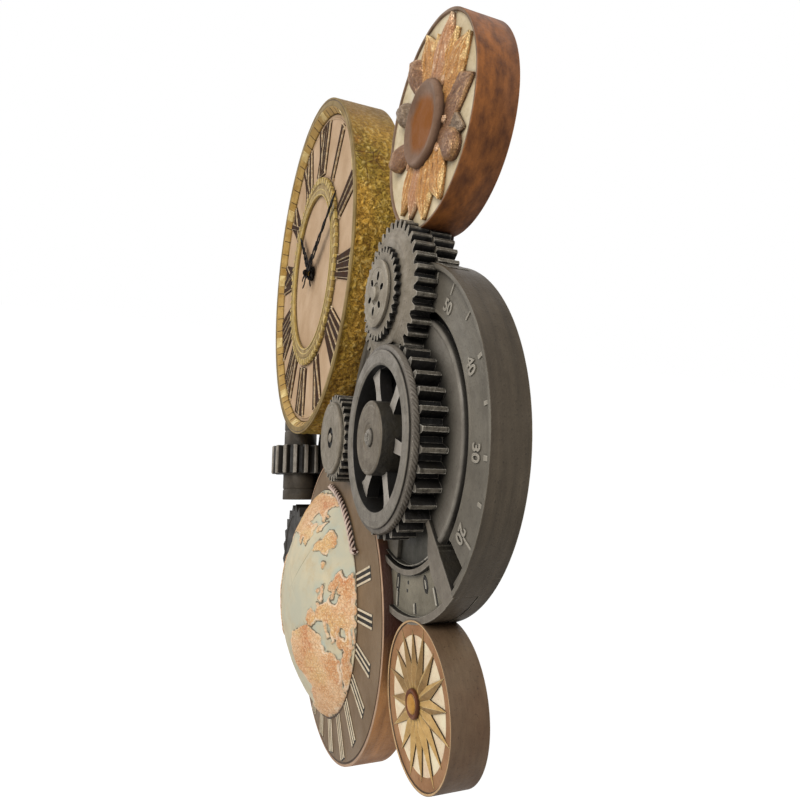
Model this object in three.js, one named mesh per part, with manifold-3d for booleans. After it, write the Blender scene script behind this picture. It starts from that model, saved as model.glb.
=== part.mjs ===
// A sculptural wall clock: a main dial, gears, two medallions, a globe and a sextant arc, cast as
// separate pieces and screwed to one backing plate. Millimetres. X is to the viewer's right, Z is up,
// the wall is the plane Y = 0 and the front looks along -Y. The origin is the hanging point.
import * as THREE from "three";
import { mergeGeometries, mergeVertices } from "three/addons/utils/BufferGeometryUtils.js";
import Module from "manifold-3d";

const wasm = await Module();
wasm.setup();

// Clearances between pieces
const SEAT = 0.3; // between two pieces that rest on each other
const RUN = 0.35; // between a turning piece and what it runs in

// Centres of the round pieces on the wall, as x and z
const MAIN = { x: -107.8, z: -66.4 };
const ROSETTE = { x: 124.4, z: 7.4 };
const SUN = { x: 193, z: -313.4 };
const DIAL = { x: 132.5, z: -179.8 };
const GLOBE = { x: 36.4, z: -326.5 };
const UPPER = { x: 108.4, z: -93 };
const SMALL = { x: 42, z: -197.2 };
const REAR = { x: -115, z: -352 };
const DOME = { x: 13, z: -335 };

// Backing plate
const BACKING_THICK = 5;
const BASE = BACKING_THICK + SEAT; // height at which every casting starts
const SERVICE_HOLE = 66; // square hole behind the movement

// Main clock
const MAIN_R = 153;
const MAIN_HEIGHT = 40; // front of the rim above the wall
const RIM_WIDTH = 7;
const BEVEL_WIDTH = 5;
const PLATE_R = MAIN_R - RIM_WIDTH - BEVEL_WIDTH;
const CASE_WALL = 10;
const LEDGE_WIDTH = 9.3;
const LEDGE_THICK = 4;
const PLATE_THICK = 3;
const PLATE_FRONT = 33;
const NUMERAL_IN = 94;
const NUMERAL_MARGIN = 5; // from the numerals to the edge of the plate
const NUMERAL_OUT = PLATE_R - NUMERAL_MARGIN;
const NUMERAL_RISE = 1.4;
const STROKE_WIDTH = 4.2;
const STROKE_PITCH = 7.2;
const RING_IN = 76;
const RING_OUT = 87;
const RING_FRONT = 36.2;

// Hands: the clock shows nine minutes past ten
const MINUTES_SHOWN = 9;
const HOURS_SHOWN = 10;
const MINUTE_LENGTH = 96;
const HOUR_LENGTH = 70;
const HAND_THICK = 0.8;
const HOUR_HAND_BACK = 36.5;
const MINUTE_HAND_BACK = 39;

// Movement, with its arbor on the main dial's axis
const MOVE_SIZE = 56;
const MOVE_WALL = 1.2;
const MOVE_DEPTH = 18;
const BUSH_R = 4;
const BUSH_BORE = 2.95;
const BUSH_FRONT = 35.9;
const TUBE_R = 2.6;
const TUBE_BORE = 1.85;
const ARBOR_R = 1.5;
const PIVOT_R = 0.7;
const NUT_FLATS = 12;
const NUT_THICK = 2;
const BAY_WALL_Z = -10.5; // wall between the battery bay and the train
const CELL_R = 7.25;
const CELL_LENGTH = 49.5;
const CELL_NUB_R = 2.7;
const CELL_NUB = 1;
const HOUR_WHEEL_R = 8.32;
const CENTRE_WHEEL_R = 9;
const CANNON_R = 2.6;
const MOTION_WHEEL_R = 7.8;
const MOTION_PINION_R = 2.08;
const THIRD_WHEEL_R = 8;
const THIRD_PINION_R = 1.2;
const ROTOR_R = 3;
const ROTOR_PINION_R = 1;
const KNOB_PINION_R = 2.6;
const KNOB_R = 5.5;
const KNOB_DEPTH = 3.6;
const WHEEL_THICK = 1;
const MOTION_AT = 53; // bearings of the train's axes, clockwise from the top
const THIRD_AT = 306;
const ROTOR_AT = 340;
const KNOB_AT = 143;

// Rosette medallion
const ROSETTE_R = 61.3;
const ROSETTE_HEIGHT = 25;
const MEDALLION_LIP = 2.2;
const MEDALLION_RECESS = 1.6;
const LEAF_COUNT = 12; // lobes of the four large leaves
const SEPAL_COUNT = 4; // small leaves between the large ones
const LEAF_WIDTH = 25;
const LEAF_RISE = 4.2;
const LEAF_DISC_MARGIN = 2; // the disc that joins the leaves reaches past the boss
const LEAF_DISC_THICK = 1.6;
const LEAF_START = 20;
const ROSETTE_BOSS_R = 25.5;
const ROSETTE_BOSS_RISE = 8.4;

// Sun medallion
const SUN_R = 42.7;
const SUN_HEIGHT = 21.4;
const STAR_POINTS = 16;
const STAR_R = 38.5;
const SHORT_RAY = 0.94; // of a long ray
const STAR_VALLEY_R = 22;
const STAR_RISE = 3.4;
const STAR_FLOOR = 1; // what is left of the star under its boss
const SUN_BOSS_R = 8.5;
const SUN_BOSS_RISE = 4;

// Number dial and the disc in its middle
const DIAL_R = 107;
const RIDGE_HEIGHT = 22;
const RIDGE_WIDTH = 3.4;
const NUMBER_FACE = 19;
const NUMBER_BAND = 26; // from the groove to the edge
const GROOVE_WIDTH = 5.6;
const GROOVE_OUT = DIAL_R - NUMBER_BAND;
const GROOVE_IN = GROOVE_OUT - GROOVE_WIDTH;
const GROOVE_FLOOR = 14;

// Large gear, collar, spoked wheel and hub, all on the number dial's axis
const LARGE_TIP = 60;
const LARGE_ROOT = 52.6;
const LARGE_TEETH = 34;
const LARGE_FRONT = 34.5;
const COLLAR_R = 56.4;
const COLLAR_THICK = 2.7;
const WHEEL_R = 53.4;
const WHEEL_IN = 44;
const WHEEL_FRONT = 40;
const SLEEVE_WALL = 2.7;
const SPOKES = 6;
const SPOKE_WIDTH = 8.5;
const SPOKE_FLARE = 1.6; // widening of each side towards the ring
const SPOKE_BITE = 1; // how far a spoke runs into the ring
const SPOKE_BACK = 27;
const SPOKE_FRONT = 34.5;
const HUB_R = 22.4;
const HUB_FRONT = 43.5;

// Upper gears
const UPPER_TIP = 46.7;
const UPPER_ROOT = 41.6;
const UPPER_TEETH = 36;
const UPPER_FRONT = 32;
const UPPER_DISC_R = 37;
const UPPER_DISC_RISE = 2.6;
const TOP_TIP = 29.5;
const TOP_ROOT = 25.8;
const TOP_TEETH = 32;
const TOP_THICK = 3.2;
const CAP_R = 21;
const CAP_THICK = 2;
const CAP_SLOTS = 6;
const CAP_SLOT_AT = 11;
const CAP_BOSS_R = 4.6;
const CAP_BOSS_RISE = 1.6;

// Small gear beside the spoked wheel
const SMALL_TIP = 32.2;
const SMALL_ROOT = 28.4;
const SMALL_TEETH = 30;
const SMALL_FRONT = 39.5;
const SMALL_CAP_R = 26.6;
const SMALL_CAP_THICK = 2.4;
const SLOT_IN = 3.5;
const SLOT_OUT = 7.5;

// Pinion lying along the wall between the main clock and the globe
const PINION = { x: -136.4, z: -254.5 };
const PINION_LEAN = 16.9; // degrees from upright
const PINION_AXIS_HEIGHT = 22;
const DRUM_R = 16.5;
const PINION_TIP = 29;
const PINION_ROOT = 23.2;
const PINION_TEETH = 16;
const PINION_FACE = 28;
const DRUM_LENGTH = 26;

// Rear gear beside the globe
const REAR_TIP = 55;
const REAR_ROOT = 48;
const REAR_TEETH = 22;
const REAR_FRONT = 24;

// Globe
const GLOBE_RING_R = 112.4;
const GLOBE_RING_HEIGHT = 24.8;
const RING_BAR_WIDTH = 2;
const RING_BAR_PITCH = 4;
const RING_BAR_RISE = 1.2;
const RING_BAR_END = 117; // from the dome's centre, where the ring is broad enough
const RING_BAR_GROUPS = 10; // of three bars each
const DOME_R = 87;
const DOME_RISE = 32;
const ROPE_R = 2.3;
const ROPE_AT = 91.5;
const ROPE_FROM = -5;
const ROPE_TO = 45;

// Sextant arc, let into the number dial: bearings from the dial's centre
const SEXTANT_FRONT = 20.8;
const SCALE_FRONT = 17.8;
const SLOT_FLOOR = 7;
const SLOT_FROM = 114;
const INNER_ARC = [GROOVE_IN + 1.2, GROOVE_OUT + 1];
const OUTER_ARC_WIDTH = 5;
const OUTER_ARC = [DIAL_R - OUTER_ARC_WIDTH, DIAL_R];
const ARM_FROM = 54;
const ARM_ANGLES = [125.4, 129.6];
const ARM_PLATE_ANGLE = 136;
const ARC_END = 205;

// Screws from the back, and the hanger
const SCREW_R = 1.7;
const SCREW_HEAD_R = 3.4;
const SCREW_HEAD = 2;
const SCREW_LENGTH = 14;
const HOLE_GAP = 0.3;
const HANGER_W = 46;
const HANGER_H = 18;
const HANGER_THICK = 1.2;
const KEYHOLE_R = 5;
const KEYHOLE_SLOT = 4.4;

// Finishes
const finish = (color, roughness, metalness) =>
  new THREE.MeshStandardMaterial({ color, roughness, metalness });
const OCHRE_GOLD = finish(0x96782f, 0.6, 0.35);
const PALE_GOLD = finish(0xa8925a, 0.5, 0.4);
const TAUPE = finish(0x8f7a68, 0.75, 0);
const COPPER_BROWN = finish(0x7a4a26, 0.55, 0.3);
const CREAM = finish(0xc8b996, 0.7, 0);
const BRONZE = finish(0x8a5a34, 0.45, 0.5);
const PEWTER = finish(0x5c5751, 0.5, 0.5);
const DARK_PEWTER = finish(0x3f3b36, 0.55, 0.5);
const SEA = finish(0xb9b9a6, 0.7, 0);
const RED_BROWN = finish(0x3a2018, 0.8, 0);
const BLACK_METAL = finish(0x15130f, 0.4, 0.6);
const BLACK_PLASTIC = finish(0x1b1b1c, 0.5, 0);
const STEEL = finish(0xa9abad, 0.35, 0.9);
const BRASS = finish(0xb49a58, 0.35, 0.9);
const COPPER_WIRE = finish(0xa35a2c, 0.4, 0.8);
const CIRCUIT_GREEN = finish(0x2c5a38, 0.6, 0);
const CELL_SKIN = finish(0x55585c, 0.4, 0.3);

const rad = THREE.MathUtils.degToRad;

// A point at a bearing, clockwise from the top, and a distance from a centre
function polar(centre, bearing, distance) {
  return {
    x: centre.x + distance * Math.sin(rad(bearing)),
    z: centre.z + distance * Math.cos(rad(bearing)),
  };
}

// A closed geometry as a solid, faces outward
function solid(geometry) {
  const bare = geometry.clone();
  bare.deleteAttribute("normal");
  bare.deleteAttribute("uv");
  const merged = mergeVertices(bare, 1e-4);
  const triVerts = new Uint32Array(merged.index.array);
  const positions = merged.attributes.position.array;
  const make = () =>
    new wasm.Manifold(new wasm.Mesh({ numProp: 3, vertProperties: positions, triVerts }));
  const made = make();
  if (made.volume() > 0) return made;
  for (let i = 0; i < triVerts.length; i += 3) {
    [triVerts[i + 1], triVerts[i + 2]] = [triVerts[i + 2], triVerts[i + 1]];
  }
  return make();
}

const join = (first, ...others) => others.reduce((sum, other) => sum.add(other), first);
const cut = (first, ...others) => others.reduce((rest, other) => rest.subtract(other), first);

// The solid as a geometry that three.js can draw
function geometryOf(made) {
  const mesh = made.getMesh();
  const positions = new Float32Array(mesh.numVert * 3);
  for (let i = 0; i < mesh.numVert; i++) {
    positions.set(mesh.vertProperties.subarray(i * mesh.numProp, i * mesh.numProp + 3), i * 3);
  }
  const geometry = new THREE.BufferGeometry();
  geometry.setAttribute("position", new THREE.BufferAttribute(positions, 3));
  geometry.setIndex(new THREE.BufferAttribute(mesh.triVerts, 1));
  geometry.computeVertexNormals();
  return geometry;
}

// Facets round a circle: a cut made for a neighbour has as many as the neighbour itself
function facets(radius) {
  if (radius > 130) return 54;
  if (radius > 80) return 44;
  if (radius > 30) return 32;
  return radius > 10 ? 20 : 14;
}

// A cylinder standing on the wall, between two heights
function rod(centre, radius, back, front, sides = facets(radius)) {
  const geometry = new THREE.CylinderGeometry(radius, radius, front - back, sides);
  return solid(geometry.translate(centre.x, -(back + front) / 2, centre.z));
}

// Cylinders that a neighbour keeps clear of
const TOP = 80; // above everything
const keep = (centre, radius, back, front) =>
  rod(centre, radius + SEAT, back, front, facets(radius));
const globeKeep = (from = -1) => keep(GLOBE, GLOBE_RING_R, from, TOP);
const mainKeep = () => keep(MAIN, MAIN_R, -1, TOP);

// A box given by its centre on the wall, its width, its height up the wall and two heights off it
function block(centre, width, tall, back, front) {
  const geometry = new THREE.BoxGeometry(width, front - back, tall);
  return solid(geometry.translate(centre.x, -(back + front) / 2, centre.z));
}

// An outline in x and z, raised from one height to another
function slab(shape, back, front, curveSegments = 8, bevel = 0) {
  const geometry = new THREE.ExtrudeGeometry(shape, {
    depth: front - back - bevel,
    curveSegments,
    bevelEnabled: bevel > 0,
    bevelThickness: bevel,
    bevelSize: bevel,
    bevelOffset: -bevel,
    bevelSegments: 1,
  });
  return solid(geometry.rotateX(Math.PI / 2).translate(0, -back, 0));
}

// A profile of radius and height, turned round an axis that stands on the wall
function turned(centre, profile, sides) {
  const points = profile.map(([radius, height]) => new THREE.Vector2(radius, -height));
  const geometry = new THREE.LatheGeometry([...points, points[0]], sides);
  return solid(geometry.translate(centre.x, 0, centre.z));
}

// The same for a solid profile, which starts and ends on the axis
function spun(centre, profile, sides) {
  const points = profile.map(([radius, height]) => new THREE.Vector2(radius, -height));
  const geometry = new THREE.LatheGeometry(points, sides);
  return solid(geometry.translate(centre.x, 0, centre.z));
}

// The biggest of a solid's separate bodies
const largest = (made) =>
  made.decompose().reduce((best, body) => (body.volume() > best.volume() ? body : best));

const shapeOf = (points) => new THREE.Shape(points.map((p) => new THREE.Vector2(p.x, p.z)));

// A gear's outline: each tooth has a flat tip, two flanks and a flat root
function gearShape(centre, teeth, tip, root, tipShare = 0.3, rootShare = 0.34, phase = 0) {
  const points = [];
  const pitch = 360 / teeth;
  for (let i = 0; i < teeth; i++) {
    const at = phase + i * pitch;
    points.push(polar(centre, at - (pitch * (1 - rootShare)) / 2, root));
    if (tipShare > 0) {
      points.push(polar(centre, at - (pitch * tipShare) / 2, tip));
      points.push(polar(centre, at + (pitch * tipShare) / 2, tip));
    } else {
      points.push(polar(centre, at, tip));
    }
    if (rootShare > 0) points.push(polar(centre, at + (pitch * (1 - rootShare)) / 2, root));
  }
  return shapeOf(points);
}

// A ring-shaped sector between two radii and two bearings
function sectorShape(centre, inner, outer, from, to, step = 4) {
  const points = [];
  const count = Math.max(2, Math.ceil((to - from) / step));
  for (let i = 0; i <= count; i++) {
    points.push(polar(centre, from + ((to - from) * i) / count, outer));
  }
  for (let i = count; i >= 0; i--) {
    points.push(polar(centre, from + ((to - from) * i) / count, inner));
  }
  return shapeOf(points);
}

const clock = new THREE.Group();

function piece(name, made, material) {
  const mesh = new THREE.Mesh(geometryOf(made), material);
  mesh.name = name;
  clock.add(mesh);
}

// Where the screws come through the backing plate
const screwPlaces = [
  polar(MAIN, 330, MAIN_R - CASE_WALL / 2),
  polar(MAIN, 210, MAIN_R - CASE_WALL / 2),
  polar(DIAL, 60, 90),
  polar(GLOBE, 200, 60),
  { x: ROSETTE.x, z: ROSETTE.z + 8 },
  { x: SUN.x, z: SUN.z - 8 },
];
const screwHole = (place) =>
  rod(place, SCREW_R + HOLE_GAP, -1, SCREW_LENGTH + 2 * SEAT, 8);

// Backing plate: one flat outline under every casting, with webs that fill the gaps between them
function backingPlate() {
  const web = (...points) => slab(shapeOf(points), 0, BACKING_THICK);
  const pinionEnd = polar(PINION, 180 - PINION_LEAN, PINION_FACE / 2 + DRUM_LENGTH - 4);
  const disc = (centre, radius) => rod(centre, radius, 0, BACKING_THICK);
  const plate = join(
    rod(MAIN, MAIN_R, 0, BACKING_THICK),
    disc(DIAL, DIAL_R),
    disc(GLOBE, GLOBE_RING_R),
    disc(ROSETTE, ROSETTE_R),
    disc(SUN, SUN_R),
    disc(REAR, REAR_ROOT),
    web(MAIN, ROSETTE, DIAL),
    web(MAIN, DIAL, GLOBE),
    web(DIAL, SUN, GLOBE),
    web(MAIN, GLOBE, REAR, pinionEnd, PINION),
    disc(PINION, DRUM_R),
  );
  const hanger = { x: 0, z: 0 };
  const headRecess = (place) =>
    rod(place, SCREW_HEAD_R + HOLE_GAP, -1, SCREW_HEAD + 2 * SEAT, 8);
  return cut(
    plate,
    block(MAIN, SERVICE_HOLE, SERVICE_HOLE, -1, BACKING_THICK + 1),
    block(hanger, HANGER_W + 2 * HOLE_GAP, HANGER_H + 2 * HOLE_GAP, -1, HANGER_THICK + 2 * SEAT),
    block(hanger, KEYHOLE_R * 2 + 4, KEYHOLE_R * 2 + 4, -1, BACKING_THICK + 1),
    ...screwPlaces.map(screwHole),
    ...screwPlaces.map(headRecess),
    ...hangerScrewPlaces.map((place) => rod(place, SCREW_R, -1, BACKING_THICK - 0.8, 8)),
  );
}

const hangerScrewPlaces = [
  { x: -HANGER_W / 2 + 6, z: 0 },
  { x: HANGER_W / 2 - 6, z: 0 },
];

// Hanger: a steel plate let into the back, with a keyhole for the nail's head
function hangerPlate() {
  const origin = { x: 0, z: 0 };
  return cut(
    block(origin, HANGER_W, HANGER_H, SEAT, HANGER_THICK + SEAT),
    rod({ x: 0, z: -1.6 }, KEYHOLE_R, -1, 4, 20),
    block({ x: 0, z: 3 }, KEYHOLE_SLOT, 7, -1, 4),
    ...hangerScrewPlaces.map((place) => rod(place, 1.3 + HOLE_GAP, -1, 4, 8)),
  );
}

// A wood screw with a flat round head, seen from the back
function screw(place, shankR, headR, head, length, start) {
  return join(
    rod(place, headR, start, start + head, 8),
    rod(place, shankR, start + head / 2, start + length, 6),
  );
}

piece("backing_plate", backingPlate(), RED_BROWN);
piece("hanger_plate", hangerPlate(), STEEL);
hangerScrewPlaces.forEach((place, i) => {
  const shank = rod(place, 1.3, SEAT, BACKING_THICK - 1.2, 8);
  piece("hanger_screw_" + (i + 1), shank, STEEL);
});
const screwNames = ["main_a", "main_b", "dial", "globe", "rosette", "sun"];
screwPlaces.forEach((place, i) => {
  const made = screw(place, SCREW_R, SCREW_HEAD_R, SCREW_HEAD, SCREW_LENGTH, SEAT);
  piece("case_screw_" + screwNames[i], made, STEEL);
});

// Main case: a deep ring with a flat rim, a bevel down to the dial and a ledge that carries the plate
const PLATE_BACK = PLATE_FRONT - PLATE_THICK;
const LEDGE_FRONT = PLATE_BACK - SEAT;
function mainCase() {
  const ring = turned(
    MAIN,
    [
      [MAIN_R, BASE],
      [MAIN_R, MAIN_HEIGHT],
      [MAIN_R - RIM_WIDTH, MAIN_HEIGHT],
      [PLATE_R + SEAT, PLATE_FRONT],
      [PLATE_R + SEAT, LEDGE_FRONT],
      [PLATE_R - LEDGE_WIDTH, LEDGE_FRONT],
      [PLATE_R - LEDGE_WIDTH, LEDGE_FRONT - LEDGE_THICK],
      [MAIN_R - CASE_WALL, LEDGE_FRONT - LEDGE_THICK],
      [MAIN_R - CASE_WALL, BASE],
    ],
    facets(MAIN_R),
  );
  return cut(ring, ...screwPlaces.slice(0, 2).map(screwHole));
}
piece("main_case", mainCase(), OCHRE_GOLD);

// Roman numerals as strokes: an offset across, and a lean of the outer end
const I = (at) => [at, at];
const V = (at) => [
  [at - 1, at],
  [at + 1, at],
];
const X = (at) => [
  [at - 1, at + 1],
  [at + 1, at - 1],
];
const NUMERALS = [
  [I(-1.5), I(-0.5), ...X(1.3)].reverse(),
  [I(0)],
  [I(-0.5), I(0.5)],
  [I(-1), I(0), I(1)],
  [I(-1.5), I(-0.5), I(0.5), I(1.5)],
  V(0),
  [...V(-0.6), I(1.3)],
  [...V(-1), I(0.8), I(1.8)],
  [...V(-1.5), I(0.3), I(1.3), I(2.2)],
  [I(-1.3), ...X(0.6)],
  X(0),
  [...X(-0.7), I(1.3)],
];

// One stroke of a numeral, from its outer end to its inner end
function stroke(bearing, [outerAt, innerAt]) {
  const along = (distance, across) => {
    const p = polar(MAIN, bearing, distance);
    const side = polar({ x: 0, z: 0 }, bearing + 90, across);
    return { x: p.x + side.x, z: p.z + side.z };
  };
  const spread = NUMERAL_IN / NUMERAL_OUT;
  const outer = outerAt * STROKE_PITCH;
  const inner = innerAt * STROKE_PITCH * spread;
  const half = STROKE_WIDTH / 2;
  const shape = shapeOf([
    along(NUMERAL_OUT, outer - half),
    along(NUMERAL_OUT, outer + half),
    along(NUMERAL_IN, inner + half * spread),
    along(NUMERAL_IN, inner - half * spread),
  ]);
  return slab(shape, PLATE_FRONT - 1, PLATE_FRONT + NUMERAL_RISE);
}

// Dial plate: a disc with a hole for the movement's bush and raised numerals
function dialPlate() {
  const strokes = NUMERALS.flatMap((numeral, hour) =>
    numeral.map((item) => stroke(hour * 30, item)),
  );
  const plate = join(rod(MAIN, PLATE_R, PLATE_BACK, PLATE_FRONT), ...strokes);
  return cut(plate, rod(MAIN, BUSH_R + SEAT, PLATE_BACK - 1, PLATE_FRONT + 1));
}
piece("dial_plate", dialPlate(), TAUPE);

const innerRing = turned(
  MAIN,
  [
    [RING_OUT, PLATE_FRONT + SEAT],
    [RING_OUT, RING_FRONT],
    [RING_IN + 3, RING_FRONT],
    [RING_IN, PLATE_FRONT + 1.3],
    [RING_IN, PLATE_FRONT + SEAT],
  ],
  40,
);
piece("inner_ring", innerRing, PALE_GOLD);

// A serpentine hand: a blade that swells and narrows, with a boss and a short tail
function hand(bearing, length, tail, back, hole) {
  const lobes = [
    [0.16, 2.6],
    [0.3, 1.1],
    [0.4, 4.6],
    [0.5, 1.2],
    [0.62, 1],
    [0.7, 3.4],
    [0.78, 0.9],
    [0.9, 1.5],
    [1, 0.3],
  ];
  const across = polar({ x: 0, z: 0 }, bearing + 90, 1);
  const at = (share, side) => {
    const bend = 1.6 * Math.sin(share * Math.PI * 2) * Math.min(1, share * 3);
    const p = polar(MAIN, bearing, share * length);
    return { x: p.x + across.x * (side + bend), z: p.z + across.z * (side + bend) };
  };
  const blade = shapeOf([
    at(-tail / length, 1.8),
    at(0, 2.2),
    ...lobes.map(([share, half]) => at(share, half)),
    ...[...lobes].reverse().map(([share, half]) => at(share, -half)),
    at(0, -2.2),
    at(-tail / length, -1.8),
  ]);
  const front = back + HAND_THICK;
  const boss = rod(MAIN, hole + 3, back, front);
  return cut(join(slab(blade, back, front), boss), rod(MAIN, hole, back - 1, front + 1));
}
const minuteBearing = MINUTES_SHOWN * 6;
const hourBearing = HOURS_SHOWN * 30 + MINUTES_SHOWN / 2;
piece(
  "hour_hand",
  hand(hourBearing, HOUR_LENGTH, 16, HOUR_HAND_BACK, TUBE_R + SEAT),
  BLACK_METAL,
);
piece(
  "minute_hand",
  hand(minuteBearing, MINUTE_LENGTH, 18, MINUTE_HAND_BACK, ARBOR_R + SEAT),
  BLACK_METAL,
);

// Cap nut on the end of the minute arbor
const NUT_BACK = MINUTE_HAND_BACK + HAND_THICK + SEAT;
const ARBOR_FRONT = NUT_BACK + 1.5;
const handNut = cut(
  spun(
    MAIN,
    [
      [0, NUT_BACK],
      [2.8, NUT_BACK],
      [2.8, NUT_BACK + 1.6],
      [1.6, NUT_BACK + 2.8],
      [0, NUT_BACK + 3.1],
    ],
    12,
  ),
  rod(MAIN, ARBOR_R + SEAT, NUT_BACK - 1, ARBOR_FRONT + SEAT),
);
piece("hand_nut", handNut, BLACK_METAL);

// Movement case: a box with the battery bay open at the back, a front bush and a train chamber
const MOVE_FRONT = PLATE_BACK - SEAT;
const MOVE_BACK = MOVE_FRONT - MOVE_DEPTH;
const INNER = MOVE_SIZE - 2 * MOVE_WALL;
const CHAMBER_FRONT = MOVE_FRONT - MOVE_WALL;
const inMovement = (x, z) => ({ x: MAIN.x + x, z: MAIN.z + z });
const chamberLow = BAY_WALL_Z + MOVE_WALL;
const chamberTall = INNER / 2 - chamberLow;
const chamberMid = inMovement(0, chamberLow + chamberTall / 2);
const bayTall = BAY_WALL_Z + INNER / 2;
const bayMid = inMovement(0, -INNER / 2 + bayTall / 2);
const COVER_FRONT = MOVE_BACK + MOVE_WALL;

function movementCase() {
  const box = block(MAIN, MOVE_SIZE, MOVE_SIZE, MOVE_BACK, MOVE_FRONT);
  const bush = rod(MAIN, BUSH_R, MOVE_FRONT - 1, BUSH_FRONT);
  return cut(
    join(box, bush),
    block(chamberMid, INNER, chamberTall, MOVE_BACK - 1, CHAMBER_FRONT),
    block(bayMid, INNER, bayTall, MOVE_BACK - 1, CHAMBER_FRONT),
    rod(MAIN, BUSH_BORE, MOVE_BACK, BUSH_FRONT + 1),
  );
}
piece("movement_case", movementCase(), BLACK_PLASTIC);

// Hexagon nut that clamps the movement to the dial plate
const nutAcross = NUT_FLATS / Math.cos(Math.PI / 6) / 2;
const fixingNut = cut(
  rod(MAIN, nutAcross, PLATE_FRONT + SEAT, PLATE_FRONT + SEAT + NUT_THICK, 6),
  rod(MAIN, BUSH_R + SEAT, PLATE_FRONT - 1, PLATE_FRONT + NUT_THICK + 2),
);
piece("fixing_nut", fixingNut, BRASS);

// The train's axes, each at its mesh distance from the one that drives it
const motionAxis = polar(MAIN, MOTION_AT, CANNON_R + MOTION_WHEEL_R + RUN);
const thirdAxis = polar(MAIN, THIRD_AT, CENTRE_WHEEL_R + THIRD_PINION_R + RUN);
const rotorAxis = polar(thirdAxis, ROTOR_AT, THIRD_WHEEL_R + ROTOR_PINION_R + RUN);
const knobAxis = polar(motionAxis, KNOB_AT, MOTION_WHEEL_R + KNOB_PINION_R + RUN);

// Heights of the train's layers off the wall, from the cover forward
const PIVOT_BACK = COVER_FRONT + SEAT;
const STATOR_LAYER = [PIVOT_BACK, PIVOT_BACK + 1];
const ROTOR_LAYER = [PIVOT_BACK + 0.2, PIVOT_BACK + 3.2];
const THIRD_LAYER = PIVOT_BACK + 4.3;
const CENTRE_LAYER = PIVOT_BACK + 7.8;
const MOTION_LAYER = PIVOT_BACK + 9.7;
const HOUR_LAYER = PIVOT_BACK + 12;

// A toothed wheel with fine pointed teeth, and a pinion
const wheel = (axis, radius, teeth, back) =>
  slab(gearShape(axis, teeth, radius, radius - 0.5, 0, 0), back, back + WHEEL_THICK);
const pinion = (axis, radius, back, front) => rod(axis, radius, back, front, 8);

const centreWheel = join(
  wheel(MAIN, CENTRE_WHEEL_R, 18, CENTRE_LAYER),
  pinion(MAIN, CANNON_R, CENTRE_LAYER, MOTION_LAYER + WHEEL_THICK + 0.4),
  rod(MAIN, ARBOR_R, PIVOT_BACK, ARBOR_FRONT, 12),
);
piece("centre_wheel", centreWheel, BRASS);

const hourWheel = cut(
  join(
    wheel(MAIN, HOUR_WHEEL_R, 18, HOUR_LAYER),
    rod(MAIN, TUBE_R, HOUR_LAYER, MINUTE_HAND_BACK - SEAT, 12),
  ),
  rod(MAIN, TUBE_BORE, HOUR_LAYER - 1, MINUTE_HAND_BACK + 1, 12),
);
piece("hour_wheel", hourWheel, BRASS);

const motionWheel = join(
  wheel(motionAxis, MOTION_WHEEL_R, 18, MOTION_LAYER),
  pinion(motionAxis, MOTION_PINION_R, MOTION_LAYER, HOUR_LAYER + WHEEL_THICK + 0.3),
  rod(motionAxis, PIVOT_R, PIVOT_BACK, CHAMBER_FRONT - SEAT, 8),
);
piece("motion_wheel", motionWheel, BRASS);

const thirdWheel = join(
  wheel(thirdAxis, THIRD_WHEEL_R, 18, THIRD_LAYER),
  pinion(thirdAxis, THIRD_PINION_R, THIRD_LAYER, CENTRE_LAYER + WHEEL_THICK + 0.4),
  rod(thirdAxis, PIVOT_R, PIVOT_BACK, CHAMBER_FRONT - SEAT, 8),
);
piece("third_wheel", thirdWheel, BRASS);

const rotor = join(
  rod(rotorAxis, ROTOR_R, ROTOR_LAYER[0], ROTOR_LAYER[1], 16),
  pinion(rotorAxis, ROTOR_PINION_R, ROTOR_LAYER[1], THIRD_LAYER + WHEEL_THICK + 0.4),
  rod(rotorAxis, PIVOT_R, ROTOR_LAYER[0], CHAMBER_FRONT - SEAT, 8),
);
piece("rotor", rotor, STEEL);

const knobFront = MOVE_BACK - SEAT;
const setKnob = join(
  slab(gearShape(knobAxis, 12, KNOB_R, KNOB_R - 0.6), knobFront - KNOB_DEPTH, knobFront),
  rod(knobAxis, ARBOR_R, knobFront - 1, MOTION_LAYER + WHEEL_THICK, 8),
  pinion(knobAxis, KNOB_PINION_R, MOTION_LAYER - 0.4, MOTION_LAYER + WHEEL_THICK + 0.4),
  rod(knobAxis, PIVOT_R, MOTION_LAYER, CHAMBER_FRONT - SEAT, 8),
);
piece("set_knob", setKnob, BLACK_PLASTIC);

// Cover over the train chamber, with a hole for the setting shaft
const movementCover = cut(
  block(
    chamberMid,
    INNER - 2 * SEAT,
    chamberTall - 2 * SEAT,
    MOVE_BACK,
    COVER_FRONT,
  ),
  rod(knobAxis, ARBOR_R + RUN, MOVE_BACK - 1, COVER_FRONT + 1, 16),
);
piece("movement_cover", movementCover, BLACK_PLASTIC);

// Stepping motor: a stator plate round the rotor, and the coil on its far side
const coilMid = { x: MAIN.x + 8, z: MAIN.z + 21.5 };
const COIL_R = 3;
const COIL_LENGTH = 18;
const statorLow = rotorAxis.z - ROTOR_R - 2.4;
const statorHigh = coilMid.z + 2;
const statorLeft = rotorAxis.x - ROTOR_R - 2.4;
const statorRight = coilMid.x + COIL_LENGTH / 2;
const stator = cut(
  block(
    { x: (statorLeft + statorRight) / 2, z: (statorLow + statorHigh) / 2 },
    statorRight - statorLeft,
    statorHigh - statorLow,
    ...STATOR_LAYER,
  ),
  rod(rotorAxis, ROTOR_R + RUN, PIVOT_BACK - 1, PIVOT_BACK + 3, 20),
);
piece("stator", stator, STEEL);

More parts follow.
